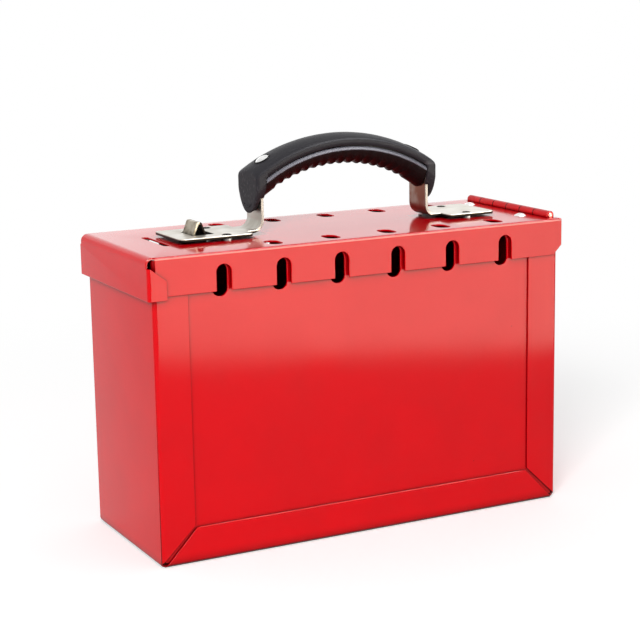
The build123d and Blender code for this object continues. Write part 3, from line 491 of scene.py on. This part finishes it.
def moulded_plastic(name, body, rubbed, roughness, texture, sheen=0.25):
    """Moulded plastic: matt, with a fine even grain from the mould and rubbed streaks along the hand."""
    m = new_material(name)
    place = add(m, "TexCoord").outputs["Object"]
    grains = add(m, "TexNoise", {"Vector": place, "Scale": 1 / texture, "Detail": 2.0}).outputs["Fac"]
    along = add(m, "Mapping", {"Vector": place, "Scale": [grain(s) for s in STREAK]}).outputs["Vector"]
    streak = add(m, "TexNoise", {"Vector": along, "Scale": 1.0, "Detail": 4.0}).outputs["Fac"]
    area = add(m, "TexNoise", {"Vector": place, "Scale": grain(RUBBED_AREA), "Detail": 2.0}).outputs["Fac"]
    marks = add(m, "MapRange", {"Value": streak, "From Min": 0.56, "From Max": 0.74}).outputs["Result"]
    where = add(m, "MapRange", {"Value": area, "From Min": 0.4, "From Max": 0.7}).outputs["Result"]
    rub = add(m, "Math", {0: marks, 1: where}, operation="MULTIPLY").outputs[0]
    base = add(m, "Mix", {0: rub, 6: body, 7: rubbed}, data_type="RGBA").outputs[2]
    gloss = add(m, "MapRange", {"Value": grains, "From Min": 0.3, "From Max": 0.7, "To Min": roughness,
                                "To Max": roughness + 0.12}).outputs["Result"]
    bump = add(m, "Bump", {"Strength": 0.4, "Distance": GRAIN_RELIEF, "Height": grains})
    return finish_surface(m, add(m, "BsdfPrincipled", {
        "Base Color": base, "Roughness": gloss, "Normal": bump.outputs["Normal"],
        "IOR": POLYPROPYLENE_IOR, "Specular IOR Level": sheen}))


def dress(node, material):
    """Gives a CAD node its finish."""
    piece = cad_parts[node]
    if not piece.material_slots:
        piece.data.materials.append(material)
    for slot in piece.material_slots:
        slot.material = material


def welded_copy(node, name):
    """The node's mesh with its triangles joined and its planes made whole."""
    form = bmesh.new()
    form.from_mesh(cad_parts[node].data)
    bmesh.ops.remove_doubles(form, verts=form.verts, dist=WELD)
    bmesh.ops.dissolve_degenerate(form, edges=form.edges, dist=WELD)
    bmesh.ops.dissolve_limit(form, angle_limit=FLAT_TURN, verts=form.verts, edges=form.edges)
    mesh = bpy.data.meshes.new(name)
    form.to_mesh(mesh)
    form.free()
    for attribute in ("custom_normal", "sharp_edge", "sharp_face"):
        if attribute in mesh.attributes:
            mesh.attributes.remove(mesh.attributes[attribute])
    mesh.materials.clear()
    return mesh


def soften(node, body, material, edge):
    """Puts in a CAD node's place a copy whose cut edges are rounded."""
    name = node + "_finished"
    piece = bpy.data.objects.new(name, welded_copy(node, name))
    bpy.context.scene.collection.objects.link(piece)
    piece.data.materials.append(material)
    piece.data.shade_smooth()
    bevel = piece.modifiers.new("edge", "BEVEL")
    bevel.width = edge
    bevel.segments = EDGE_STEPS
    bevel.limit_method = "ANGLE"
    bevel.angle_limit = SHARP_TURN
    bevel.use_clamp_overlap = False
    bevel.miter_outer = "MITER_ARC"
    bevel.harden_normals = True
    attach(piece, body)
    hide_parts(node)


RIM_STEPS = 40
RIM_SECTION = 10


def rim(form, centre, radius, thick):
    """Adds a round ring that lies flat about a point; returns its new vertices."""
    before = set(form.verts)
    ring = bmesh.ops.create_circle(form, segments=RIM_SECTION, radius=thick)["verts"]
    turn = Matrix.Rotation(math.pi / 2, 4, "X")
    upright = Matrix.Translation(centre + Vector((radius, 0, 0))) @ turn
    bmesh.ops.transform(form, matrix=upright, verts=ring)
    edges = list({edge for vert in ring for edge in vert.link_edges})
    bmesh.ops.spin(form, geom=ring + edges, cent=centre, axis=(0, 0, 1), angle=math.tau,
                   steps=RIM_STEPS, use_merge=True)
    return [vert for vert in form.verts if vert not in before]


def lid_piece(form, name, material):
    """Makes the form an object that rides on the lid."""
    bmesh.ops.recalc_face_normals(form, faces=form.faces)
    mesh = bpy.data.meshes.new(name)
    form.to_mesh(mesh)
    form.free()
    mesh.materials.append(material)
    mesh.shade_smooth()
    piece = bpy.data.objects.new(name, mesh)
    bpy.context.scene.collection.objects.link(piece)
    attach(piece, "lid")
    return piece


class LOCKBOX_OT_sheet_metal(bpy.types.Operator):
    """Paints the bent body, both panels, the catches and the lid, and rounds their cut edges"""

    bl_idname = "lockbox.sheet_metal"
    bl_label = "Painted sheet metal"

    def execute(self, context):
        paint = context.scene.lockbox_paint
        # Powder coat baked on steel sheet: a deep, even red whose gloss mirrors pale things softly
        coat = powder_coat("red_powder_coat", paint, paint.red, roughness=0.1)
        for node in ("body_shell", "front_panel", "back_panel"):
            soften(node, "box", coat, paint.edge)
        soften("lid", "lid", coat, paint.edge)
        for node in ("front_catch", "back_catch"):
            dress(node, coat)
        return {"FINISHED"}


class LOCKBOX_OT_hinge(bpy.types.Operator):
    """Finishes the rolled hinge, its pin and its four rivets"""

    bl_idname = "lockbox.hinge"
    bl_label = "Hinge"

    def execute(self, context):
        paint = context.scene.lockbox_paint
        metal = context.scene.lockbox_metal
        # The same powder coat, duller, in a darker and browner red that is painted shade for the dark the
        # barrel mirrors, cut by dark joints
        coat = powder_coat("hinge_powder_coat", paint, paint.hinge_shaded_red, roughness=0.25, rolled=True)
        soften("body_hinge_leaf", "box", coat, paint.leaf_edge)
        soften("lid_hinge_leaf", "lid", coat, paint.leaf_edge)
        # Steel pin with a thin mist of the coat on its ends: pinkish metal with paler bare patches
        pin = worn_metal("painted_pin_end", metal, metal.pin, metal.pin_bare, roughness=0.3, patch=1,
                         pit=0.5)
        dress("hinge_pin", pin)
        # Pressed aluminium: bright white domes with faint tool marks
        bright = worn_metal("aluminium_rivets", metal, metal.rivet, metal.rivet_dull, roughness=0.2,
                            patch=4, pit=0.6)
        dress("lid_hinge_rivets", bright)
        dress("body_hinge_rivets", bright)
        return {"FINISHED"}


class LOCKBOX_OT_handle_strap(bpy.types.Operator):
    """Finishes the bent strap, its rivets, spacers and washers"""

    bl_idname = "lockbox.handle_strap"
    bl_label = "Handle strap"

    # From the grip's end to the middle of the leg inside it, the strip's thickness and the leg's width
    END_WALL = 4.15 * MM
    STRIP = 1.5 * MM
    LEG_WIDTH = 17 * MM
    # Painted shade in the rolled rim and dimple left by setting each foot rivet: a dark ring and dot; the
    # dimple's mark is a little flattened
    TAIL_RIM = 1.85 * MM
    TAIL_THICK = 0.17 * MM
    TAIL_DOT = 0.4 * MM
    DOT_HEIGHT = 0.8

    def execute(self, context):
        metal = context.scene.lockbox_metal
        centres = [rivet_centre("left_foot_rivets"), rivet_centre("right_foot_rivets")]
        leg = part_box("grip_shell")[1].x - self.END_WALL
        foot_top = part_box("handle_strap")[0].z + self.STRIP
        # Satin stainless: a broad pale sheen drawn out along the strip, browned by heat on one leg
        steel = brushed_steel("satin_stainless_strip", metal, leg, foot_top, self.LEG_WIDTH / 2,
                              roughness=0.3)
        soften("handle_strap", "lid", steel, metal.edge)
        # Steel rivets set flush: small bright discs with painted shade in and round them
        punched = punched_rivet("punched_rivets", metal, centres)
        for node in ("left_foot_rivets", "right_foot_rivets"):
            dress(node, punched)
        self.rivet_shade_rims(metal, centres, foot_top)
        # Pressed aluminium, a little duller from the hand: bright domes in the dark grip
        domes = worn_metal("set_rivets", metal, metal.rivet, metal.rivet_dull, roughness=0.24, patch=3,
                           pit=0.5)
        dress("grip_rivets", domes)
        # Bright zinc plate: cool pale grey with a cloudy spangle
        zinc = worn_metal("zinc_plate_washers", metal, metal.zinc, metal.zinc_dull, roughness=0.25,
                          patch=3, pit=0.5)
        for node in ("left_foot_spacers", "right_foot_spacers", "right_foot_washers"):
            dress(node, zinc)
        return {"FINISHED"}

    def rivet_shade_rims(self, metal, centres, foot_top):
        """Thin dark ring and dot on each of the feet's rivets: painted shade in the rolled rim and the
        dimple.
        """
        form = bmesh.new()
        for x, y in centres:
            for side in (-1, 1):
                centre = Vector((x, side * y, foot_top))
                rim(form, centre, self.TAIL_RIM, self.TAIL_THICK)
                dot = Matrix.Translation(centre) @ Matrix.Diagonal((1, 1, self.DOT_HEIGHT, 1))
                bmesh.ops.create_uvsphere(form, u_segments=16, v_segments=8, radius=self.TAIL_DOT,
                                          matrix=dot)
        # Painted shade where the steel was rolled over: dull black, with no mirror of metal, so it is made as
        # the plastics are
        rim_shade = moulded_plastic("black_oxide", metal.rivet_and_gap_shade, metal.rivet_and_gap_shade, roughness=0.6,
                                texture=0.4 * MM, sheen=0.1)
        lid_piece(form, "foot_rivet_rims", rim_shade)


# Half of the grip's section, from its middle out and round: half-width and depth below the crown, in mm
CROWN = ((0, 0), (3, 0.15), (6, 0.6), (8.6, 1.2), (10.4, 1.75), (11.05, 2.05), (11.3, 2.3))
LEDGE = ((11.42, 2.62), (11.7, 2.85), (11.75, 3.2), (11.75, 5.7), (11.75, 7.9), (11.6, 8.5))
CAP_TOE = ((11, 10), (10, 12), (8.6, 13.8), (6.8, 15.5), (4.6, 16.8), (2.3, 17.5), (0, 17.7))
CHANNEL = ((0, 9), (8.6, 9), (8.6, 7.1), (7.6, 7), (7.6, 4.6), (8.45, 4.6), (8.5, 6.3))
BAND = ((10, 6.3), (10.5, 6.35), (11.35, 7.5), (11.5, 7.9), (11.42, 8.25))
INSERT_TOE = ((10.6, 9.4), (9.5, 11), (8.1, 12.6), (6.3, 14), (4.3, 15.1), (2.1, 15.8), (0, 16))
# Depths of the joint between the mouldings, the top of the band and the middle of the section
SEAM_DEPTH = 5.7
BAND_TOP = 6.32
SECTION_CENTRE = 7.0
# The strap's channel in the insert, which the scallops and the band leave alone
CHANNEL_HALF = 8.6
CHANNEL_FLOOR = 9
CHANNEL_SLACK = 0.05
# Scallops: the depths where they start and are full, the line that they are cut towards, the least
# share of the cut at their start, and how it grows
RIB_TOP = 8.2
RIB_FULL = 14.5
RIB_HEART = 7.2
RIB_LEAST = 0.14
RIB_GROWTH = 1.5
# Flat border inside a closed end, and the shares of the end round at which it gets a row of corners
END_BORDER = 0.5 * MM
ROUND_CUTS = (1.0, 0.6, 0.3, 0.1)


class GripForm:
    """A closed section that is swung about the grip's axis, then cut and shaped."""

    def __init__(self, grip, half, turn, steps):
        low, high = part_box("grip_shell")
        self.middle = (low.x + high.x) / 2
        self.reach = (high.x - low.x) / 2
        self.low = low.z
        self.axis = Vector((self.middle, 0, high.z - grip.radius))
        self.radius = grip.radius
        self.form = bmesh.new()
        other = [(-y, depth) for y, depth in reversed(half) if y > 0]
        ring = [self.form.verts.new((self.middle, y * MM, high.z - depth * MM))
                for y, depth in list(half) + other]
        edges = [self.form.edges.new(pair) for pair in zip(ring, ring[1:] + ring[:1])]
        start = Matrix.Rotation(-math.radians(turn / 2), 3, "Y")
        bmesh.ops.rotate(self.form, verts=ring, cent=self.axis, matrix=start)
        bmesh.ops.spin(self.form, geom=ring + edges, cent=self.axis, axis=(0, 1, 0),
                       angle=math.radians(turn), steps=steps)

    def depth(self, point):
        """Depth below the crown's arc, in millimetres."""
        return (self.radius - math.hypot(point.x - self.axis.x, point.z - self.axis.z)) / MM

    def angle(self, point):
        """Turn about the grip's axis, from the middle."""
        return math.atan2(point.x - self.axis.x, point.z - self.axis.z)

    def outward(self, point):
        """Direction away from the grip's axis."""
        angle = self.angle(point)
        return Vector((math.sin(angle), 0, math.cos(angle)))

    def across(self, point):
        """Distance from the middle plane."""
        return abs(point.x - self.middle)

    def cut(self, place, normal, near=None):
        """Cuts the faces near a plane, all of them if none are picked."""
        faces = [f for f in self.form.faces if near is None or near(f.calc_center_median())]
        geom = set(faces)
        for face in faces:
            geom.update(face.edges)
            geom.update(face.verts)
        bmesh.ops.bisect_plane(self.form, geom=list(geom), dist=WELD, plane_co=place, plane_no=normal)

    def cut_pair(self, distance):
        """Cuts across the grip at that distance either side of its middle."""
        for side in (-1, 1):
            self.cut((self.middle + side * distance, 0, 0), (1, 0, 0))

    def drop(self, test):
        """Deletes the faces whose middle passes the test."""
        faces = [f for f in self.form.faces if test(f.calc_center_median())]
        bmesh.ops.delete(self.form, geom=faces, context="FACES")

    def round_ends(self, reach, size):
        """Draws the last stretch in towards the middle of the section, as a quarter round."""
        for vert in self.form.verts:
            past = self.across(vert.co) - (reach - size)
            if past > WELD:
                past = min(past, size)
                inward = size - math.sqrt(size ** 2 - past ** 2)
                rise = (SECTION_CENTRE - self.depth(vert.co)) * MM
                from_centre = Vector((0, vert.co.y, 0)) + self.outward(vert.co) * rise
                vert.co -= from_centre.normalized() * inward * Vector((0, 1, 1))

    def close_ends(self, reach):
        """Fills both ends, with a narrow border that keeps them flat."""
        rims = [e for e in self.form.edges if e.is_boundary
                and min(self.across(v.co) for v in e.verts) > reach - WELD]
        ends = bmesh.ops.holes_fill(self.form, edges=rims, sides=0)["faces"]
        bmesh.ops.inset_individual(self.form, faces=ends, thickness=END_BORDER, use_even_offset=True)

    def piece(self, name, material, slot, node):
        """Makes it an object that stands for the node."""
        bmesh.ops.remove_doubles(self.form, verts=self.form.verts, dist=WELD)
        piece = lid_piece(self.form, name, material)
        piece.data.set_sharp_from_angle(angle=SHARP_TURN)
        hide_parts(node)
        return piece


class LOCKBOX_OT_grip(bpy.types.Operator):
    """Moulds the grip's upper shell and its scalloped insert"""

    bl_idname = "lockbox.grip"
    bl_label = "Grip"

    def execute(self, context):
        grip = context.scene.lockbox_grip
        # Polypropylene from a spark-eroded mould: matt charcoal, a little paler where hands rub it.
        # The grain of all three mouldings is drawn coarser than it is, so that it shows.
        shell = moulded_plastic("polypropylene_shell", grip.shell, grip.scuff, roughness=0.42,
                                texture=grip.texture, sheen=0.06)
        # Black polypropylene, smoother on its ribs: nearly black, with thin soft lights
        insert = moulded_plastic("ribbed_insert", grip.insert, grip.insert_rub, roughness=0.38,
                                 texture=grip.texture, sheen=0.15)
        # The same moulding in a paler grey, a painted highlight where it slopes to the light: a pale line
        # along the joint
        band = moulded_plastic("insert_rim", grip.band, grip.band_rub, roughness=0.42,
                               texture=grip.texture)
        self.upper(grip, shell)
        self.lower(grip, insert, band)
        self.rivet_shade_rings(grip, insert)
        return {"FINISHED"}

    def upper(self, grip, material):
        """Arched shell whose ends close down into caps, open below for the strap."""
        shape = GripForm(grip, CROWN + LEDGE + CAP_TOE, turn=90, steps=90)
        reach, end = shape.reach, grip.end_round
        for distance in (grip.seam_reach, grip.mouth_reach, reach):
            shape.cut_pair(distance)
        shape.drop(lambda p: shape.across(p) > reach)
        for share in ROUND_CUTS:
            shape.cut_pair(reach - share * end)
        shape.drop(lambda p: shape.across(p) < grip.seam_reach and shape.depth(p) > SEAM_DEPTH)
        mouth = shape.low + grip.mouth_rise
        shape.cut((0, 0, mouth), (0, 0, 1), lambda p: shape.across(p) < grip.mouth_reach)
        shape.drop(lambda p: shape.across(p) < grip.mouth_reach and p.z < mouth)
        shape.round_ends(reach, end)
        shape.close_ends(reach)
        piece = shape.piece("grip_upper", material, "grip_plastic", "grip_shell")
        wall = piece.modifiers.new("wall", "SOLIDIFY")
        wall.thickness = grip.wall
        wall.offset = -1

    def lower(self, grip, material, band):
        """Insert under the strap: a sloping band with a painted highlight, then a rounded toe with finger
        scallops.
        """
        step = grip.rib_pitch / (grip.radius - INSERT_TOE[-1][1] * MM)
        shape = GripForm(grip, CHANNEL + BAND + INSERT_TOE, turn=78, steps=220)
        shape.cut_pair(grip.insert_reach)
        shape.drop(lambda p: shape.across(p) > grip.insert_reach)
        shape.close_ends(grip.insert_reach)
        half = grip.rib_count / 2
        for vert in shape.form.verts:
            count = shape.angle(vert.co) / step
            depth = shape.depth(vert.co)
            in_channel = (abs(vert.co.y) < (CHANNEL_HALF + CHANNEL_SLACK) * MM
                          and depth < CHANNEL_FLOOR + CHANNEL_SLACK)
            if depth < RIB_TOP or abs(count) > half or in_channel:
                continue
            share = min(1, (depth - RIB_TOP) / (RIB_FULL - RIB_TOP))
            hollow = 1 - (2 * (count % 1) - 1) ** 2
            size = hollow * grip.rib_depth * max(RIB_LEAST, share ** RIB_GROWTH)
            inward = Vector((0, -vert.co.y, 0)) + shape.outward(vert.co) * (depth - RIB_HEART) * MM
            vert.co += inward.normalized() * size
        for face in shape.form.faces:
            middle = face.calc_center_median()
            if abs(middle.y) > CHANNEL_HALF * MM and BAND_TOP < shape.depth(middle) < RIB_TOP:
                face.material_index = 1
        piece = shape.piece("grip_lower", material, "insert_plastic", "grip_insert")
        piece.data.materials.append(band)

    def rivet_shade_rings(self, grip, material):
        """Dark ring round each of the shell's two rivets, set square to the arch: painted shade at the
        rivet's edge.
        """
        low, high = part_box("grip_rivets")
        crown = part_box("grip_shell")[1].z
        middle = (low.x + high.x) / 2
        axis = Vector((middle, 0, crown - grip.radius))
        turn = math.asin(grip.rivet_offset / grip.radius)
        form = bmesh.new()
        for side in (-1, 1):
            fresh = rim(form, Vector((middle, 0, crown)), grip.rivet_rim, grip.rim_thick)
            lean = Matrix.Rotation(side * turn, 3, "Y")
            bmesh.ops.rotate(form, verts=fresh, cent=axis, matrix=lean)
        lid_piece(form, "grip_rivet_seats", material)


class LOCKBOX_OT_latch(bpy.types.Operator):
    """Finishes the thumb tab, the slide under the lid and its bushes"""

    bl_idname = "lockbox.latch"
    bl_label = "Latch"

    # From the tab's middle to where its painted shade starts
    SHADE_START = 0.2 * MM

    def execute(self, context):
        metal = context.scene.lockbox_metal
        low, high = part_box("thumb_tab")
        # Plain steel strip, bent cold: brownish grey with oil marks, and black painted shade on its far side
        # and in its gaps
        tab = worn_metal("bent_tab_steel", metal, metal.tab, metal.tab_stain, roughness=0.34, patch=3.2,
                         pit=0.6, shade_from=(low.x + high.x) / 2 + self.SHADE_START)
        soften("thumb_tab", "latch", tab, metal.tab_edge)
        # Steel near-black with a low sheen, painted shade so that the lid's holes look as dark as the unlit
        # box inside
        black = worn_metal("blackened_steel", metal, metal.slide_dark, metal.slide_dark_worn,
                           roughness=0.45, patch=4, pit=0.5)
        soften("latch_slide", "latch", black, metal.slide_edge)
        # Zinc plate, rubbed by the slide: pale grey, a little duller than the washers
        zinc = worn_metal("zinc_plate_bushes", metal, metal.zinc, metal.zinc_dull, roughness=0.3,
                          patch=4, pit=0.5)
        dress("latch_guide_bushes", zinc)
        return {"FINISHED"}


# Lamps: place, target, width and height, in metres
LAMPS = {
    "key": ((-0.9, -1.08, 0.85), (0, 0, 0.1), 0.4, 0.4),
    "back": ((0.66, 1.35, 0.47), (0, 0, 0.15), 2.6, 0.9),
    "card": ((0.219, -0.348, 0.11), (0.177, -0.258, 0.11), 0.5, 0.2),
    "strip": ((0.345, -0.335, 0.7), (0.345, -0.045, 0.152), 0.56, 0.6),
}
# The camera's place in metres and its turns in degrees, and half the floor's width
CAMERA_PLACE = (-0.40733, -0.78549, 0.28491)
CAMERA_TURNS = (78.3471, 0.9674, -27.3747)
FLOOR_HALF = 6


def softbox(name, place, target, width, height, radiance):
    """Rectangular lamp of that size in metres; its own face isn't seen by the camera."""
    lamp = bpy.data.lights.new(name, "AREA")
    lamp.shape = "RECTANGLE"
    lamp.size = width
    lamp.size_y = height
    lamp.energy = radiance * math.pi * width * height
    holder = bpy.data.objects.new(name, lamp)
    holder.location = place
    holder.rotation_euler = (Vector(target) - Vector(place)).to_track_quat("-Z", "Y").to_euler()
    holder.visible_camera = False
    bpy.context.scene.collection.objects.link(holder)
    return holder


def seen_share(owner, *kinds):
    """1 for rays of these kinds, by which a surface is seen or mirrored, and 0 for the rest."""
    path = add(owner, "LightPath").outputs
    seen = path[f"Is {kinds[0]} Ray"]
    for kind in kinds[1:]:
        seen = add(owner, "Math", {0: seen, 1: path[f"Is {kind} Ray"]}, operation="MAXIMUM").outputs[0]
    return seen


def plain_world(fill):
    """White where it is seen or mirrored, and a plain fill for the rest."""
    world = bpy.data.worlds.new("white_studio")
    world.use_nodes = True
    world.node_tree.nodes.clear()
    seen = seen_share(world, "Camera", "Glossy", "Transmission")
    level = add(world, "MapRange", {"Value": seen, "To Min": fill}).outputs["Result"]
    shade = add(world, "Background", {"Color": WHITE, "Strength": level})
    add(world, "OutputWorld", {"Surface": shade.outputs[0]})
    bpy.context.scene.world = world


def paper_sweep(settings):
    """Matt paper: pale under the box, where it keeps the shadow, and white further off where it is seen."""
    m = new_material("pale_paper_sweep")
    seen = seen_share(m, "Camera", "Glossy")
    glow = add(m, "MapRange", {"Value": seen, "To Max": settings.glow}).outputs["Result"]
    near = add(m, "BsdfPrincipled", {
        "Base Color": settings.floor, "Roughness": 0.9, "Specular IOR Level": 0.1,
        "Emission Color": WHITE, "Emission Strength": glow}).outputs[0]
    place = add(m, "TexCoord").outputs["Object"]
    distance = add(m, "VectorMath", {0: place}, operation="LENGTH").outputs["Value"]
    far = add(m, "MapRange", {"Value": distance, "From Min": settings.fade_near,
                              "From Max": settings.fade_far},
              interpolation_type="SMOOTHSTEP").outputs["Result"]
    white = add(m, "Emission", {"Color": WHITE}).outputs[0]
    share = add(m, "Math", {0: far, 1: seen}, operation="MULTIPLY").outputs[0]
    return finish_surface(m, add(m, "MixShader", {0: share, 1: near, 2: white}))


class LOCKBOX_OT_stage(bpy.types.Operator):
    """Lays the floor and sets the world, the lamps and the camera"""

    bl_idname = "lockbox.stage"
    bl_label = "Stage"

    def execute(self, context):
        scene = context.scene
        settings = scene.lockbox_stage
        form = bmesh.new()
        bmesh.ops.create_grid(form, x_segments=1, y_segments=1, size=FLOOR_HALF)
        mesh = bpy.data.meshes.new("floor")
        form.to_mesh(mesh)
        form.free()
        mesh.materials.append(paper_sweep(settings))
        floor = bpy.data.objects.new("floor", mesh)
        scene.collection.objects.link(floor)
        plain_world(settings.fill)
        lamps = {name: softbox(name, *LAMPS[name], getattr(settings, name)) for name in LAMPS}
        lamps["card"].data.color = settings.card_colour[:3]
        # These two are only there to be mirrored in the gloss
        for name in ("card", "strip"):
            lamps[name].visible_diffuse = False
        camera = bpy.data.cameras.new("camera")
        camera.lens = settings.lens
        holder = bpy.data.objects.new("camera", camera)
        holder.location = CAMERA_PLACE
        holder.rotation_euler = [math.radians(turn) for turn in CAMERA_TURNS]
        scene.collection.objects.link(holder)
        scene.camera = holder
        scene.view_settings.view_transform = "Standard"
        return {"FINISHED"}


class LOCKBOX_PT_panel(bpy.types.Panel):
    """Lists the sizes and colours of the box, and the steps that dress it"""

    bl_idname = "LOCKBOX_PT_panel"
    bl_label = "Lock box"
    bl_space_type = "VIEW_3D"
    bl_region_type = "UI"
    bl_category = "Lock box"

    def draw(self, context):
        for group, settings in SETTINGS.items():
            box = self.layout.box()
            for name in settings.__annotations__:
                box.prop(getattr(context.scene, group), name)
        for operator in OPERATORS:
            self.layout.operator(operator.bl_idname)


SETTINGS = {
    "lockbox_paint": PaintSettings,
    "lockbox_metal": MetalSettings,
    "lockbox_grip": GripSettings,
    "lockbox_stage": StageSettings,
}
OPERATORS = (
    LOCKBOX_OT_sheet_metal,
    LOCKBOX_OT_hinge,
    LOCKBOX_OT_handle_strap,
    LOCKBOX_OT_grip,
    LOCKBOX_OT_latch,
    LOCKBOX_OT_stage,
)


def register():
    for group, settings in SETTINGS.items():
        bpy.utils.register_class(settings)
        setattr(bpy.types.Scene, group, PointerProperty(type=settings))
    for operator in OPERATORS:
        bpy.utils.register_class(operator)
    bpy.utils.register_class(LOCKBOX_PT_panel)


def unregister():
    bpy.utils.unregister_class(LOCKBOX_PT_panel)
    for operator in reversed(OPERATORS):
        bpy.utils.unregister_class(operator)
    for group, settings in SETTINGS.items():
        delattr(bpy.types.Scene, group)
        bpy.utils.unregister_class(settings)


def main():
    register()
    bpy.ops.lockbox.sheet_metal()
    bpy.ops.lockbox.hinge()
    bpy.ops.lockbox.handle_strap()
    bpy.ops.lockbox.grip()
    bpy.ops.lockbox.latch()
    bpy.ops.lockbox.stage()


if __name__ == "__main__":
    main()
